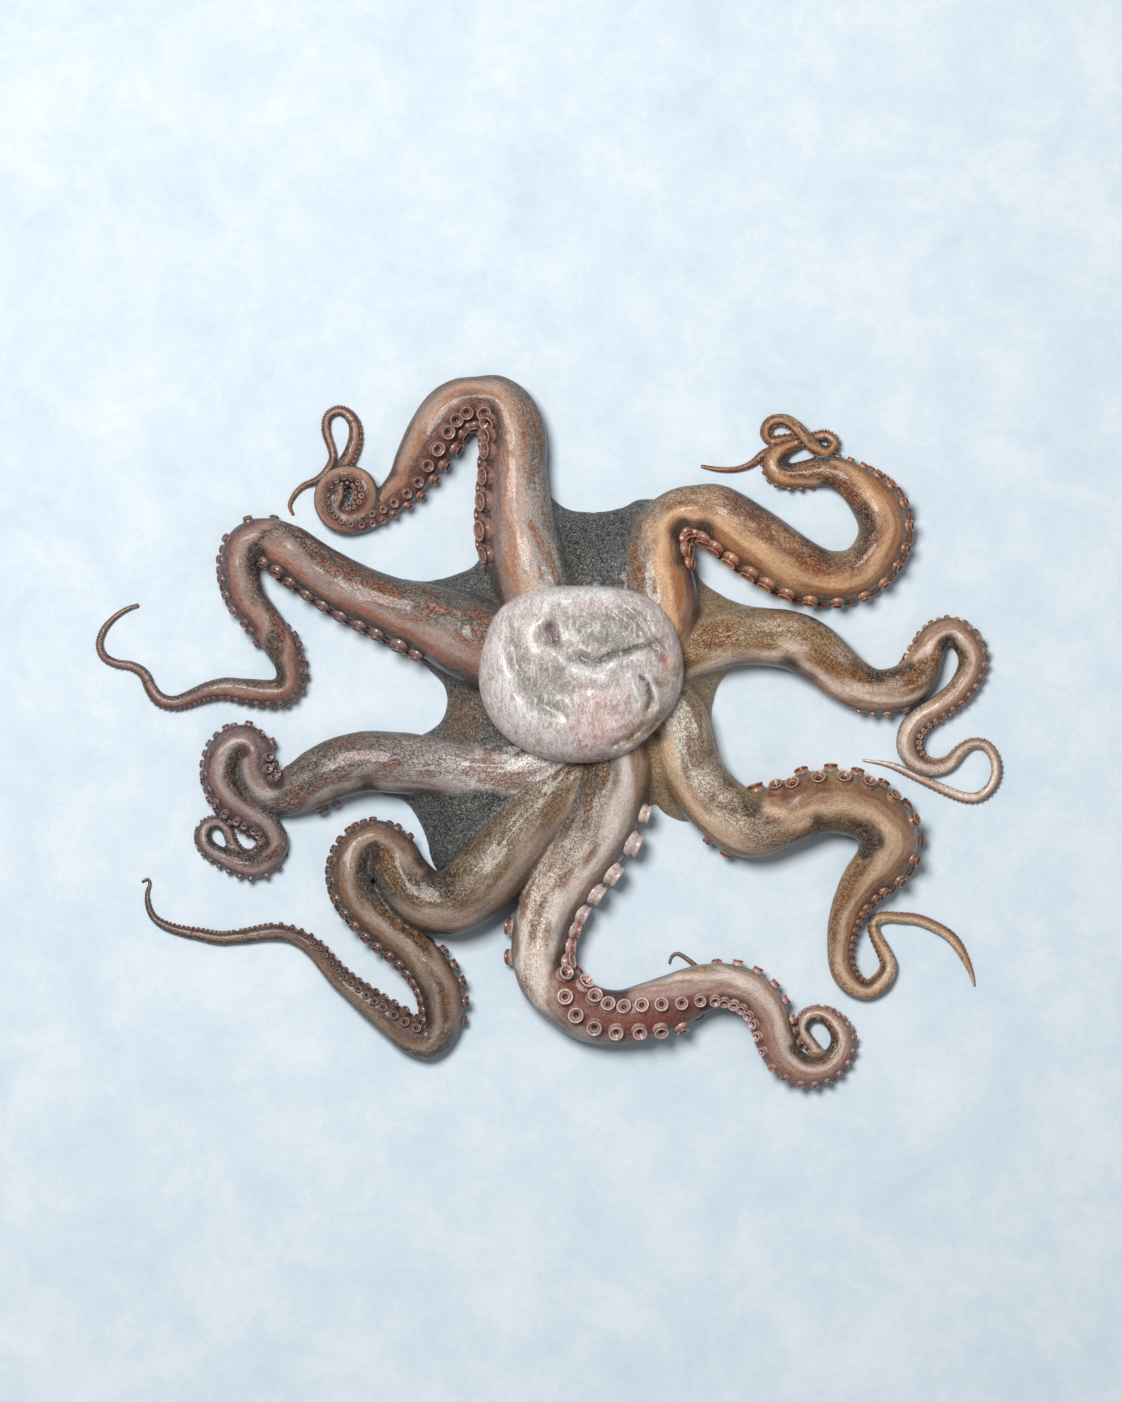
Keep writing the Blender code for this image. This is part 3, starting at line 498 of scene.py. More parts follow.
def tone_at(point, place):
    """Colour of the skin at a point, how much it is web, and how strong its fine lines are.

    Round the arm, going up from the suckers, lie dark skin, a streaked line, a pale band (partly
    the skin's own, partly a painted highlight) and the back. The inner side of a bend and the
    lower half of the section are darkened as painted shade.
    """
    ratio, name, f, local, oral, length = place
    root, middle, tip, pale_and_highlight_band, gum, streak = ARM_COLOURS[name]
    share = f.travelled / length
    lengthwise = Vector((local[0] * 0.045, local[1] * 0.17, local[2] * 0.17))
    drift = noise.noise(lengthwise)
    cloud = noise.noise(point * 0.035)
    level = oral - f.spread + 16.0 * drift + 10.0 * cloud

    back = mix(mix(root, middle, smoothstep(0.05, 0.35, share)), tip,
               smoothstep(0.42, 0.8, share))
    streaked = smoothstep(0.0, 0.35, drift + 0.5 * cloud)
    back = mix(back, streak, 0.75 * streaked * (1.0 - 0.4 * share))
    back = mix(back, pale_and_highlight_band, 0.4 * smoothstep(0.05, 0.4, -drift - 0.4 * cloud))
    # The pale band: partly the skin's own pale colour, partly a painted highlight along the side.
    pale = mix(pale_and_highlight_band, back, 0.55 * share)
    colour = mix(pale, back, smoothstep(62.0, 92.0, level))
    colour = mix(colour, streak, 0.75 * bump_share(level, 44.0, 9.0))
    skirt = mix(gum, back, 0.35)
    colour = mix(skirt, colour, smoothstep(28.0, 44.0, level))
    colour = mix(gum, colour, smoothstep(8.0, 20.0, oral - f.spread))

    # Painted shade on the inner side of a bend; the outer side is mixed a little towards the pale
    # band.
    squeezed = f.bend * local[1] / f.half
    colour = mix(colour, INNER_BEND_SHADE, 0.92 * smoothstep(0.06, 0.3, squeezed))
    colour = mix(colour, pale_and_highlight_band, 0.18 * smoothstep(0.15, 0.5, -squeezed))
    # Painted shade: the lower half of the section darkens towards the table, as if shaded from the
    # light above.
    height = local[2] / f.tall
    colour = mix(colour, colour * 0.24, smoothstep(0.8, 0.0, height + 0.2 * drift))
    crown = smoothstep(115.0, 45.0, f.travelled) * smoothstep(0.88, 0.45, height + 0.5 * cloud)
    crown *= smoothstep(60.0, 90.0, level)
    web = max(smoothstep(0.9, 1.12, ratio + 0.12 * cloud), 0.9 * crown)
    away = (point - Vector((*MANTLE_CENTRE, point.z))).normalized()
    facing = away.x * math.cos(TAN_SIDE) + away.y * math.sin(TAN_SIDE)
    sheet = mix(WEB_COLOUR, TAN_WEB, smoothstep(0.45, 0.75, facing))
    colour = mix(colour, sheet * (1.0 + 0.7 * cloud), web)
    x, y, radius, brown = MEMBRANE
    colour = mix(colour, brown, 0.9 * bump_share(math.dist(point[:2], (x, y)), 0.0, radius))
    under = smoothstep(1.6, 0.6, point.z) * smoothstep(-0.5, -0.85, height)
    colour = mix(colour, UNDERSIDE * (1.0 + 0.3 * cloud), 0.9 * under)
    web *= 1.0 - 0.8 * under
    fine = mix(0.3, 1.0, smoothstep(66.0, 110.0, level))
    grey = Vector([sum(colour) / 3.0] * 3)
    return mix(grey, colour, SATURATION), web, max(fine, web)


# The top arm's innermost turns, packed inside its coil: x, y, radius and height.
COIL_BED = (-130.0, 149.0, 13.0, 9.0)


def build_skin(arms):
    """Arms and web as one skin."""
    mesh = bmesh.new()
    for frames in arms.values():
        thick = [f for f in frames if f.half >= FINE_TIP]
        if len(thick) > 4:
            add_arm(mesh, thick)
    add_web(mesh)
    x, y, radius, height = COIL_BED
    squash = Matrix.Translation((x, y, 0.0)) @ Matrix.Diagonal((1.0, 1.0, height / radius, 1.0))
    bmesh.ops.create_uvsphere(mesh, u_segments=24, v_segments=12, radius=radius, matrix=squash)
    bmesh.ops.recalc_face_normals(mesh, faces=mesh.faces)
    skin = new_object("skin", mesh)
    apply_modifier(skin, "REMESH", mode="VOXEL", voxel_size=VOXEL)
    smooth_crown(skin)
    tips = bmesh.new()
    tips.from_mesh(skin.data)
    for frames in arms.values():
        first = next((i for i, f in enumerate(frames) if f.half < FINE_TIP), None)
        if first is not None:
            add_arm(tips, frames[max(0, first - 3):], TIP_SIDES)
    tips.to_mesh(skin.data)
    tips.free()
    skin.data.polygons.foreach_set("use_smooth", [True] * len(skin.data.polygons))
    return skin


def smooth_crown(item):
    mesh = bmesh.new()
    mesh.from_mesh(item.data)
    middle = Vector(MANTLE_CENTRE)
    near = [v for v in mesh.verts if (v.co.xy - middle).length < SMOOTH_RADIUS]
    for _ in range(SMOOTH_PASSES):
        bmesh.ops.smooth_vert(mesh, verts=near, factor=0.5,
                              use_axis_x=True, use_axis_y=True, use_axis_z=True)
    for _ in range(2):
        bmesh.ops.smooth_vert(mesh, verts=mesh.verts, factor=0.5,
                              use_axis_x=True, use_axis_y=True, use_axis_z=True)
    mesh.to_mesh(item.data)
    mesh.free()


def wrinkle(point, local, web):
    """Small folds of the skin, in millimetres along the normal."""
    lengthwise = noise.noise(Vector((local[0] * 0.035, local[1] * 0.22, local[2] * 0.22)))
    lumps = noise.noise(point * 0.09)
    return 0.6 * lengthwise * (1.0 - web) + 0.4 * lumps


def paint_skin(skin, arms):
    where = ArmMap(arms)
    tones, locals_, webs, details = [], [], [], []
    moved = []
    for v in skin.data.vertices:
        place = where.locate(v.co)
        colour, web, fine = tone_at(v.co, place)
        f = place[2]
        tones.append(colour)
        locals_.append(place[3])
        webs.append(web)
        details.append(fine)
        strength = smoothstep(1.0, 9.0, f.half)
        moved.append(v.co + v.normal * (wrinkle(v.co, place[3], web) * strength))
    for v, co in zip(skin.data.vertices, moved):
        v.co = co
        v.co.z = max(v.co.z, 0.0)
    set_attribute(skin.data, "tone", "FLOAT_COLOR", tones)
    set_attribute(skin.data, "arm_place", "FLOAT_VECTOR", locals_)
    set_attribute(skin.data, "web", "FLOAT", webs)
    set_attribute(skin.data, "detail", "FLOAT", details)


# ---------------------------------------------------------------- suckers

# Sucker: (height, width) as shares of its radius, and where it lies in the colour scale:
# 0 bulb, 1 outer wall, 2 rim, 3 inner wall, 4 bottom of the cup, darkened as painted shade.
SUCKER_PROFILE = (
    (-0.95, 0.8, 0.0), (-0.5, 1.02, 0.0), (-0.1, 1.1, 0.0), (0.22, 1.06, 0.2),
    (0.42, 0.92, 0.8), (0.54, 0.88, 1.0), (0.68, 0.97, 1.0), (0.80, 0.99, 1.4),
    (0.88, 0.92, 2.0), (0.87, 0.84, 2.0), (0.78, 0.74, 2.7), (0.66, 0.62, 3.0),
    (0.56, 0.52, 2.6), (0.52, 0.44, 2.6), (0.38, 0.34, 3.6), (0.22, 0.20, 4.0),
    (0.18, 0.08, 4.0),
)


# How far along an arm its suckers are still as pale as the band.
PALE_SUCKERS = {"bottom": 140.0}


def sucker_colours(name):
    """Colours of an arm's suckers, in the order of the profile's scale."""
    pale_and_highlight_band, gum = ARM_COLOURS[name][3:5]
    flesh = Vector((c * k for c, k in zip(gum, (1.3, 1.15, 1.1))))
    # The bottom of the cup is the skin between the suckers darkened further, as painted shade in the
    # hollow.
    return mix(gum, pale_and_highlight_band, 0.48), flesh, mix(flesh, pale_and_highlight_band, 0.75), mix(flesh, pale_and_highlight_band, 0.14), gum * 0.3


def sucker_places(frames, first, shares):
    """Alternating places in two rows: point, facing, radius and frame."""
    due, side = first, 1
    total = frames[-1].travelled
    for f in frames:
        share = mix(shares[0], shares[1], min(1.0, 1.6 * f.travelled / total))
        grown = smoothstep(first - 4.0, first + 22.0, f.travelled)
        radius = f.half * share * mix(0.55, 1.0, grown)
        if f.travelled < due or radius < SMALLEST_SUCKER:
            continue
        due = f.travelled + radius * 1.12
        side = -side
        point, facing = f.on_skin(f.roll + side * f.spread)
        if point.z + facing.z * radius > -0.3 * radius:
            yield point, facing, radius, f


def sucker_detail(radius):
    """Sides and profile of a sucker: the smaller it is, the plainer."""
    if radius > LARGE_SUCKER:
        return 18, SUCKER_PROFILE
    if radius > MEDIUM_SUCKER:
        return 12, SUCKER_PROFILE[::2]
    return 8, SUCKER_PROFILE[::4]


def build_suckers(name, frames):
    """One arm's suckers, as one piece."""
    mesh = bmesh.new()
    tones = []
    first, *shares = SUCKERS[name]
    colours = sucker_colours(name)
    pale_and_highlight_band = ARM_COLOURS[name][3]
    pale_until = PALE_SUCKERS.get(name, 0.0)
    for point, facing, radius, f in sucker_places(frames, first, shares):
        across = facing.orthogonal().normalized()
        up = facing.cross(across)
        sides, profile = sucker_detail(radius)
        wobble = noise.noise(point * 0.7) * 0.12
        shade = 1.0 + 0.35 * noise.noise(point * 0.4)
        paled = 0.6 * smoothstep(pale_until + 20.0, pale_until - 10.0, f.travelled)
        rings = []
        for height, width, kind in profile:
            centre = point + facing * (height * radius)
            lower = min(int(kind), len(colours) - 2)
            colour = mix(colours[lower], colours[lower + 1], kind - lower) * shade
            colour = mix(colour, pale_and_highlight_band, paled)
            ring = []
            for k in range(sides):
                a = math.tau * k / sides
                size = width * radius * (1.0 + wobble * math.cos(2.0 * a))
                ring.append(centre + (across * math.cos(a) + up * math.sin(a)) * size)
                tones.append(colour)
            rings.append(ring)
        add_rings(mesh, rings)
    suckers = new_object(f"suckers_{name}", mesh)
    set_attribute(suckers.data, "tone", "FLOAT_COLOR", tones)
    return suckers


# ---------------------------------------------------------------- mantle

def mantle_reach(angle):
    """Distance from the mantle's middle to its outline, in the given direction."""
    a, b = MANTLE_HALF
    n = mix(MANTLE_BLUNTNESS, MANTLE_TOP_BLUNTNESS, smoothstep(0.0, 0.9, math.sin(angle)))
    reach = (abs(math.cos(angle) / a) ** n + abs(math.sin(angle) / b) ** n) ** (-1.0 / n)
    depth, towards, width = MANTLE_DENT
    off = (math.degrees(angle) - towards + 180.0) % 360.0 - 180.0
    return reach * (1.0 - depth * math.exp(-(off / width) ** 2))


MANTLE_COLOUR = srgb(212, 200, 197)
# PALE_AND_HIGHLIGHT is partly the mantle's whitish skin, partly painted highlight on raised folds;
# SHADE is painted shade in creases; GREY_AND_CREASE_SHADE is the basin's own grey and painted shade
# in creases.
PALE_AND_HIGHLIGHT, SHADE, GREY_AND_CREASE_SHADE = srgb(226, 222, 221), srgb(78, 72, 66), srgb(134, 132, 122)
GOLD, ROSE, PLUM, BROWN = srgb(160, 118, 66), srgb(212, 178, 172), srgb(96, 58, 70), srgb(92, 66, 50)
STAIN, CLARET = srgb(198, 172, 150), srgb(176, 84, 84)
BASIN = (4.0, 18.0, 38.0, 27.0)      # middle and half size of the sunken, mottled part

# Folds of the mantle's back: (height, half width, tint, points), points from the mantle's
# middle. A fold with a negative height is a crease. Raised folds tinted pale are painted
# highlights, and creases tinted grey or dark are painted shade.
MANTLE_FOLDS = (
    (-3.5, 5.0, GREY_AND_CREASE_SHADE, ((-46, 38), (-44, 22), (-40, 6), (-32, -14), (-18, -24), (2, -25))),
    (1.5, 6.0, PALE_AND_HIGHLIGHT, ((-52, 30), (-52, 12), (-47, -8), (-38, -24), (-20, -36))),
    (1.5, 8.0, ROSE, ((-10, -43), (12, -44), (32, -34))),
    (3.0, 6.0, PALE_AND_HIGHLIGHT, ((-36, 44), (-14, 50), (10, 51), (28, 46))),
    (3.4, 6.5, PALE_AND_HIGHLIGHT, ((-14, 0), (-2, 1), (12, -1), (20, -6))),
    (-4.0, 2.2, SHADE, ((-13, 9), (0, 11), (13, 9), (29, 14), (40, 18), (52, 24))),
    (2.6, 4.0, PALE_AND_HIGHLIGHT, ((16, 3), (30, 7), (44, 11))),
    (-2.4, 1.5, GREY_AND_CREASE_SHADE, ((22, 46), (34, 34), (44, 20), (50, 11))),
    (-2.2, 1.3, GREY_AND_CREASE_SHADE, ((30, 46), (41, 34), (50, 20), (54, 12))),
    (-1.8, 1.2, GREY_AND_CREASE_SHADE, ((15, 44), (28, 32), (38, 22))),
    (2.6, 2.2, PALE_AND_HIGHLIGHT, ((30, 2), (34, -8), (38, -18), (36, -28))),
    (2.6, 2.0, PALE_AND_HIGHLIGHT, ((40, 0), (46, -10), (50, -20), (46, -30))),
    (-3.0, 1.6, SHADE, ((36, 2), (42, -6), (44, -16), (40, -28))),
    (-3.8, 2.4, GOLD, ((6, -53), (22, -49), (36, -42), (46, -32), (52, -22))),
    (-3.4, 2.2, GOLD, ((16, -46), (30, -40), (42, -30))),
    (2.6, 2.0, PALE_AND_HIGHLIGHT, ((12, -51), (30, -46), (44, -36))),
)
# Dimples: (x, y, radius, depth, tint)
MANTLE_DIMPLES = (
    (-4, 27, 22.0, 4.0, GREY_AND_CREASE_SHADE), (24, 24, 18.0, 3.5, GREY_AND_CREASE_SHADE), (-22, -6, 13.0, 3.5, GREY_AND_CREASE_SHADE),
    (-14, -14, 10.0, 2.0, GREY_AND_CREASE_SHADE), (14, -28, 16.0, -1.5, ROSE),
    (50, -24, 13.0, 0.0, STAIN), (57, 2, 11.0, 0.0, STAIN), (38, -42, 12.0, 0.0, STAIN),
    (-17, 22, 3.6, 2.0, PLUM), (-21, 27, 4.4, 6.0, PLUM), (52, 9, 3.8, 2.5, CLARET),
    (47, -7, 3.8, 1.5, BROWN),
)


def fold_share(x, y, points, width):
    """How much of a fold a place takes: 1 on its line, 0 away from it and at its ends."""
    place = Vector((x, y))
    best, at = math.inf, 0.0
    for i, (start, end) in enumerate(zip(points, points[1:])):
        start, end = Vector(start), Vector(end)
        span = end - start
        share = max(0.0, min(1.0, (place - start).dot(span) / span.length_squared))
        distance = (place - start - span * share).length
        if distance < best:
            best, at = distance, (i + share) / (len(points) - 1)
    if best > width * 3.0:
        return 0.0
    return math.exp(-(best / width) ** 2) * smoothstep(0.0, 0.2, at) * smoothstep(1.0, 0.8, at)


def mantle_back(x, y):
    """Height and colour of the mantle's back, and how mottled it is."""
    relief, colour = 0.0, MANTLE_COLOUR
    mx, my, half_x, half_y = BASIN
    mottled = math.exp(-((x - mx) / half_x) ** 2 - ((y - my) / half_y) ** 2)
    x += 3.5 * noise.noise(Vector((x * 0.07, y * 0.07, 11.0)))
    y += 3.5 * noise.noise(Vector((x * 0.07, y * 0.07, 17.0)))
    cloud = noise.noise(Vector((x * 0.06, y * 0.06, 23.0)))
    for dx, dy, radius, depth, tint in MANTLE_DIMPLES:
        share = math.exp(-((x - dx) ** 2 + (y - dy) ** 2) / radius ** 2)
        relief -= depth * share
        small = radius < 8.0
        colour = mix(colour, tint, share * (0.95 if small or not depth else 0.75 + 0.6 * cloud))
    for height, width, tint, points in MANTLE_FOLDS:
        share = fold_share(x, y, points, width)
        relief += height * share
        colour = mix(colour, tint, share * (0.8 + 0.5 * cloud))
    relief += 1.0 * cloud + 0.5 * mottled * noise.noise(Vector((x * 0.14, y * 0.14, 7.0)))
    return relief, colour, mottled


def build_mantle():
    around, levels = 260, 110
    mesh = bmesh.new()
    rings, locals_, tones, mottles = [], [], [], []
    for level in range(1, levels):
        tilt = math.pi * (level / levels - 0.5)
        ring = []
        for k in range(around):
            angle = math.tau * k / around
            reach = mantle_reach(angle) * math.cos(tilt) ** 0.7
            x, y = reach * math.cos(angle), reach * math.sin(angle)
            z = MANTLE_MID_HEIGHT + MANTLE_HALF_HEIGHT * math.sin(tilt)
            colour, mottled = MANTLE_COLOUR, 0.0
            if tilt > 0:
                relief, colour, mottled = mantle_back(x, y)
                z += relief * smoothstep(0.0, 0.35, tilt)
            ring.append((MANTLE_CENTRE[0] + x, MANTLE_CENTRE[1] + y, z))
            locals_.append((x, y, z))
            tones.append(colour)
            mottles.append(mottled)
        rings.append(ring)
    add_rings(mesh, rings)
    mantle = new_object("mantle", mesh)
    set_attribute(mantle.data, "tone", "FLOAT_COLOR", tones)
    set_attribute(mantle.data, "place", "FLOAT_VECTOR", locals_)
    set_attribute(mantle.data, "mottle", "FLOAT", mottles)
    return mantle


# ---------------------------------------------------------------- materials

class Nodes:
    """Small helper that adds and links shader nodes."""

    def __init__(self, name):
        self.material = bpy.data.materials.new(name)
        self.material.use_nodes = True
        self.tree = self.material.node_tree
        self.shader = self.tree.nodes["Principled BSDF"]

    def add(self, kind, inputs=None, **settings):
        node = self.tree.nodes.new(kind)
        for key, value in settings.items():
            setattr(node, key, value)
        for key, value in (inputs or {}).items():
            self.set(node.inputs[key], value)
        return node

    def set(self, socket, value):
        if isinstance(value, bpy.types.NodeSocket):
            self.tree.links.new(value, socket)
        else:
            socket.default_value = value

    def attribute(self, name, output="Vector"):
        return self.add("ShaderNodeAttribute", attribute_name=name).outputs[output]

    def scaled(self, vector, scale):
        return self.add("ShaderNodeMapping", {"Vector": vector, "Scale": scale}).outputs[0]

    def noise(self, vector, scale, detail=4.0, roughness=0.6, distortion=0.0):
        return self.add("ShaderNodeTexNoise", {
            "Vector": vector, "Scale": scale, "Detail": detail, "Roughness": roughness,
            "Distortion": distortion}).outputs["Fac"]

    def ramp(self, factor, low, high, start=0.0, end=1.0):
        return self.add("ShaderNodeMapRange", {
            "Value": factor, "From Min": low, "From Max": high, "To Min": start,
            "To Max": end}).outputs["Result"]

    def blend(self, factor, first, second, mode="MIX"):
        node = self.add("ShaderNodeMix", data_type="RGBA", blend_type=mode, clamp_factor=True)
        for index, value in ((0, factor), (6, first), (7, second)):
            if isinstance(value, Vector):
                value = (*value, 1.0)
            self.set(node.inputs[index], value)
        return node.outputs[2]

    def maths(self, operation, first, second=0.0):
        node = self.add("ShaderNodeMath", operation=operation)
        self.set(node.inputs[0], first)
        self.set(node.inputs[1], second)
        return node.outputs[0]

    def lines(self, vector, scale, width):
        """Thin curling lines: 1 on a line, 0 away from it."""
        wave = self.noise(vector, scale, 3.0, 0.55, 0.5)
        away = self.maths("ABSOLUTE", self.maths("SUBTRACT", wave, 0.5))
        return self.ramp(away, width, 0.0)

    def bump(self, height, distance, strength=1.0, normal=None):
        node = self.add("ShaderNodeBump", {
            "Height": height, "Distance": distance, "Strength": strength})
        if normal is not None:
            self.set(node.inputs["Normal"], normal)
        return node.outputs[0]

    def finish(self, colour, roughness, normal, coat=0.35, coat_roughness=0.12, scatter=0.0):
        inputs = self.shader.inputs
        self.set(inputs["Base Color"], colour)
        self.set(inputs["Roughness"], roughness)
        self.set(inputs["Normal"], normal)
        inputs["Coat Weight"].default_value = coat
        inputs["Coat Roughness"].default_value = coat_roughness
        inputs["Coat IOR"].default_value = 1.35
        inputs["Specular IOR Level"].default_value = 0.38
        if scatter:
            inputs["Subsurface Weight"].default_value = scatter
            inputs["Subsurface Radius"].default_value = (1.0, 0.4, 0.25)
            inputs["Subsurface Scale"].default_value = 2.0 * MM
        return self.material


def skin_material():
    n = Nodes("octopus_skin")
    tone = n.attribute("tone", "Color")
    place = n.attribute("arm_place")
    web = n.attribute("web", "Fac")
    detail = n.attribute("detail", "Fac")
    world = n.add("ShaderNodeNewGeometry").outputs["Position"]

    dark_lines = n.lines(n.scaled(place, (0.24, 0.5, 0.5)), 1.0, 0.04)
    # Pale lines and curls: partly the skin's own pale marks, partly painted wet glints.
    pale_and_glint_lines = n.lines(n.scaled(place, (0.22, 0.42, 0.42)), 1.4, 0.035)
    curls = n.lines(world, 360.0, 0.045)
    pale_and_glint_curls = n.lines(world, 420.0, 0.04)
    grain = n.noise(world, 420.0, 3.0, 0.6, 0.8)
    streaks = n.noise(n.scaled(place, (0.13, 0.5, 0.5)), 1.0, 4.0, 0.65, 0.9)

    darker = n.blend(1.0, tone, srgb(122, 96, 78), "MULTIPLY")
    # Painted highlight: the pale colour of streaks and lines is partly the skin's own, partly
    # painted wet glints.
    pale_and_glint = n.blend(0.55, tone, srgb(240, 220, 198))
    shaded = n.maths("MULTIPLY", n.ramp(streaks, 0.49, 0.34, 0.0, 0.6), detail)
    colour = n.blend(shaded, tone, darker)
    lit = n.maths("MULTIPLY", n.ramp(streaks, 0.55, 0.7, 0.0, 0.5), detail)
    colour = n.blend(lit, colour, pale_and_glint)
    colour = n.blend(n.maths("MULTIPLY", dark_lines, detail), colour, darker)
    paled = n.maths("MULTIPLY", n.maths("MULTIPLY", pale_and_glint_lines, 0.6), detail)
    colour = n.blend(paled, colour, pale_and_glint)
    curled = n.maths("MULTIPLY", curls, detail)
    colour = n.blend(n.maths("MULTIPLY", curled, 0.7), colour, darker)
    colour = n.blend(n.ramp(grain, 0.46, 0.3, 0.0, 0.3), colour, darker)
    flecked = n.blend(n.maths("MULTIPLY", pale_and_glint_curls, 0.4), tone, srgb(208, 202, 190))
    flecked = n.blend(n.maths("MULTIPLY", curls, 0.6), flecked, srgb(26, 24, 22))
    flecked = n.blend(n.ramp(grain, 0.5, 0.64, 0.0, 0.1), flecked, srgb(180, 176, 168))
    colour = n.blend(web, colour, flecked)

    relief = n.maths("ADD", n.maths("MULTIPLY", streaks, 0.5), n.maths("MULTIPLY", grain, 0.5))
    relief = n.maths("ADD", relief, n.maths("MULTIPLY", curled, -0.3))
    normal = n.bump(relief, 1.0 * MM, 0.85)
    return n.finish(colour, n.ramp(streaks, 0.3, 0.7, 0.28, 0.46), normal, coat=0.32,
                    coat_roughness=0.1)


def sucker_material():
    n = Nodes("octopus_suckers")
    tone = n.attribute("tone", "Color")
    world = n.add("ShaderNodeNewGeometry").outputs["Position"]
    blot = n.noise(world, 500.0, 3.0, 0.6)
    darker = n.blend(1.0, tone, srgb(150, 126, 120), "MULTIPLY")
    colour = n.blend(n.ramp(blot, 0.5, 0.7, 0.0, 0.8), tone, darker)
    normal = n.bump(blot, 0.4 * MM, 0.5)
    return n.finish(colour, n.ramp(blot, 0.3, 0.7, 0.22, 0.36), normal, coat=0.5)


def mantle_material():
    n = Nodes("octopus_mantle")
    tone = n.attribute("tone", "Color")
    place = n.attribute("place")
    mottle = n.attribute("mottle", "Fac")
    broad = n.noise(place, 0.07, 4.0, 0.6, 0.6)
    clouds = n.noise(place, 0.16, 6.0, 0.72, 0.8)
    threads = n.lines(place, 0.34, 0.04)
    brush = n.noise(n.scaled(place, (0.35, 0.12, 0.2)), 1.0, 4.0, 0.65, 1.2)
    grain = n.noise(place, 0.7, 4.0, 0.65, 0.6)
    darker = n.blend(1.0, tone, srgb(166, 162, 150), "MULTIPLY")
    rosy = n.blend(1.0, tone, srgb(222, 190, 184), "MULTIPLY")
    colour = n.blend(n.ramp(broad, 0.5, 0.66, 0.0, 0.7), tone, rosy)
    colour = n.blend(n.ramp(brush, 0.5, 0.38, 0.0, 0.6), colour, darker)
    colour = n.blend(n.ramp(brush, 0.54, 0.66, 0.0, 0.5), colour, srgb(242, 240, 240))
    cloudy = n.maths("MULTIPLY", n.ramp(clouds, 0.5, 0.34), mottle)
    colour = n.blend(cloudy, colour, darker)
    threaded = n.maths("MULTIPLY", threads, n.ramp(mottle, 0.1, 0.7, 0.3, 0.8))
    colour = n.blend(threaded, colour, srgb(128, 122, 112))
    colour = n.blend(n.ramp(grain, 0.46, 0.32, 0.0, 0.5), colour, darker)
    colour = n.blend(n.ramp(grain, 0.56, 0.7, 0.0, 0.7), colour, srgb(242, 241, 240))
    relief = n.maths("ADD", n.maths("MULTIPLY", clouds, 0.7), n.maths("MULTIPLY", grain, 0.3))
    normal = n.bump(relief, 1.0 * MM, 0.6)
    return n.finish(colour, n.ramp(clouds, 0.3, 0.7, 0.26, 0.42), normal, coat=0.45,
                    coat_roughness=0.14)


def floor_material():
    n = Nodes("pale_table")
    world = n.add("ShaderNodeNewGeometry").outputs["Position"]
    cloud = n.noise(world, 16.0, 9.0, 0.76, 0.3)
    grain = n.noise(world, 420.0, 2.0, 0.6)
    colour = n.blend(n.ramp(cloud, 0.36, 0.66), srgb(200, 215, 225), srgb(221, 229, 236))
    colour = n.blend(n.ramp(grain, 0.35, 0.65, 0.0, 0.12), colour, srgb(176, 196, 210))
    inputs = n.shader.inputs
    n.set(inputs["Base Color"], colour)
    inputs["Roughness"].default_value = 0.75
    inputs["Specular IOR Level"].default_value = 0.2
    return n.material


# ---------------------------------------------------------------- scene

CAMERA_HEIGHT = 6.0
VIEW_SPAN = 0.897         # how much of the table the frame's long side takes in
VIEW_CENTRE = (0.0077, 0.0198)
SENSOR = 36.0
TABLE_HALF = 3.0
TABLE_GAP = 0.0002        # how far the table lies below the animal, so that they don't touch


def add_camera():
    data = bpy.data.cameras.new("camera")
    data.sensor_width = SENSOR
    data.lens = SENSOR * CAMERA_HEIGHT / VIEW_SPAN
    camera = bpy.data.objects.new("camera", data)
    camera.location = (*VIEW_CENTRE, CAMERA_HEIGHT)
    bpy.context.scene.collection.objects.link(camera)
    bpy.context.scene.camera = camera


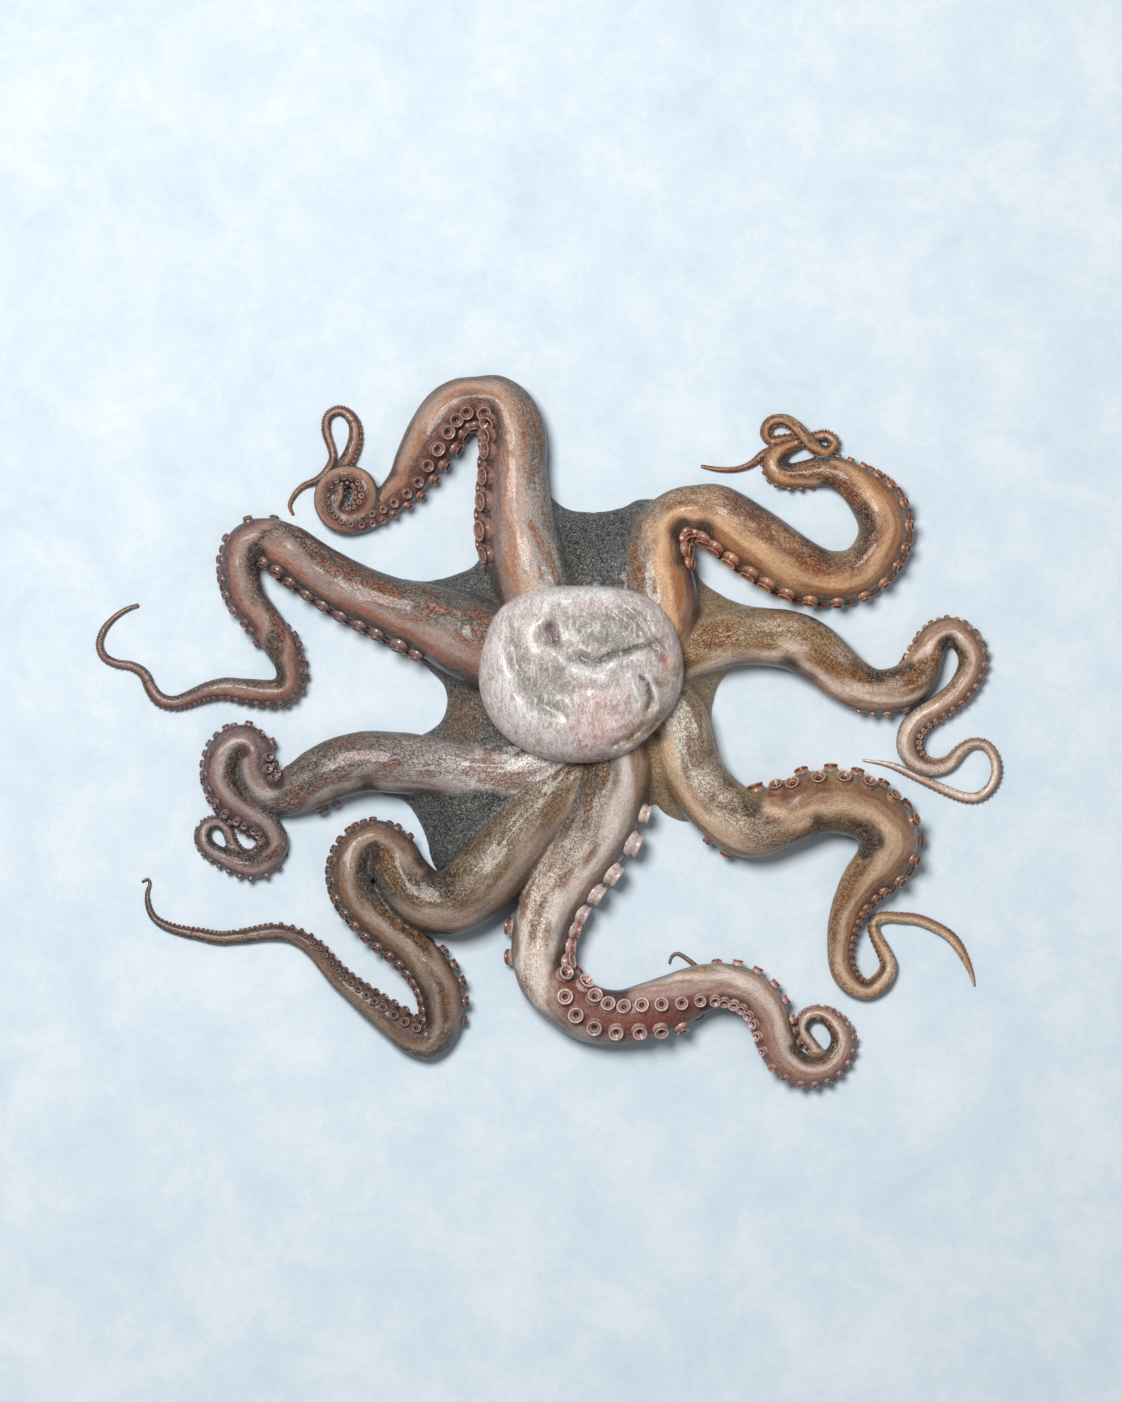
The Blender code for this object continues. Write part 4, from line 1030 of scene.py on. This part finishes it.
def add_light(name, place, size, power, colour):
    data = bpy.data.lights.new(name, "AREA")
    data.shape = "DISK"
    data.size = size
    data.energy = power
    data.color = colour
    light = bpy.data.objects.new(name, data)
    light.location = place
    light.rotation_euler = (-Vector(place)).to_track_quat("-Z", "Y").to_euler()
    bpy.context.scene.collection.objects.link(light)


def add_surroundings():
    floor = bmesh.new()
    bmesh.ops.create_grid(floor, x_segments=2, y_segments=2, size=TABLE_HALF)
    table = new_object("table", floor, smooth=False)
    table.location.z = -TABLE_GAP
    table.data.materials.append(floor_material())
    add_light("key", (-0.55, 0.75, 2.3), 0.95, 64.0, (1.0, 0.985, 0.97))
    add_light("fill", (1.6, -0.6, 2.2), 2.4, 5.0, (0.92, 0.96, 1.0))
    world = bpy.data.worlds.new("soft_sky")
    world.use_nodes = True
    sky = world.node_tree.nodes["Background"]
    sky.inputs["Color"].default_value = (0.92, 0.96, 1.0, 1.0)
    sky.inputs["Strength"].default_value = 0.21
    bpy.context.scene.world = world
    bpy.context.scene.view_settings.view_transform = "Standard"


def settle(pieces, main):
    """Put the pieces in the CAD's place: scaled, centred on its box, and pressed flat."""
    low, high = (Vector([pick(v.co[i] for m in main for v in m.data.vertices) for i in range(3)])
                 for pick in (min, max))
    cad_low, cad_high = Vector(cad_bounds[0]), Vector(cad_bounds[1])
    shift = (cad_low + cad_high) / 2 - (low + high) / 2 * MM
    shift.z = cad_low.z - (low.z + PRESS_DEPTH) * MM
    for piece in pieces:
        for v in piece.data.vertices:
            v.co = v.co * MM + shift
            v.co.z = max(v.co.z, 0.0)


def dress(piece, material):
    piece.data.materials.append(material)
    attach(piece, "root")
    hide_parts("octopus")


add_camera()
arms = {name: arm_frames(waypoints) for name, waypoints in ARMS.items()}
skin = build_skin(arms)
paint_skin(skin, arms)
suckers = [build_suckers(name, arms[name]) for name in SUCKERS]
mantle = build_mantle()
settle((skin, *suckers, mantle), (skin, *suckers))
dress(skin, skin_material())
sucker_skin = sucker_material()
for piece in suckers:
    dress(piece, sucker_skin)
dress(mantle, mantle_material())
add_surroundings()
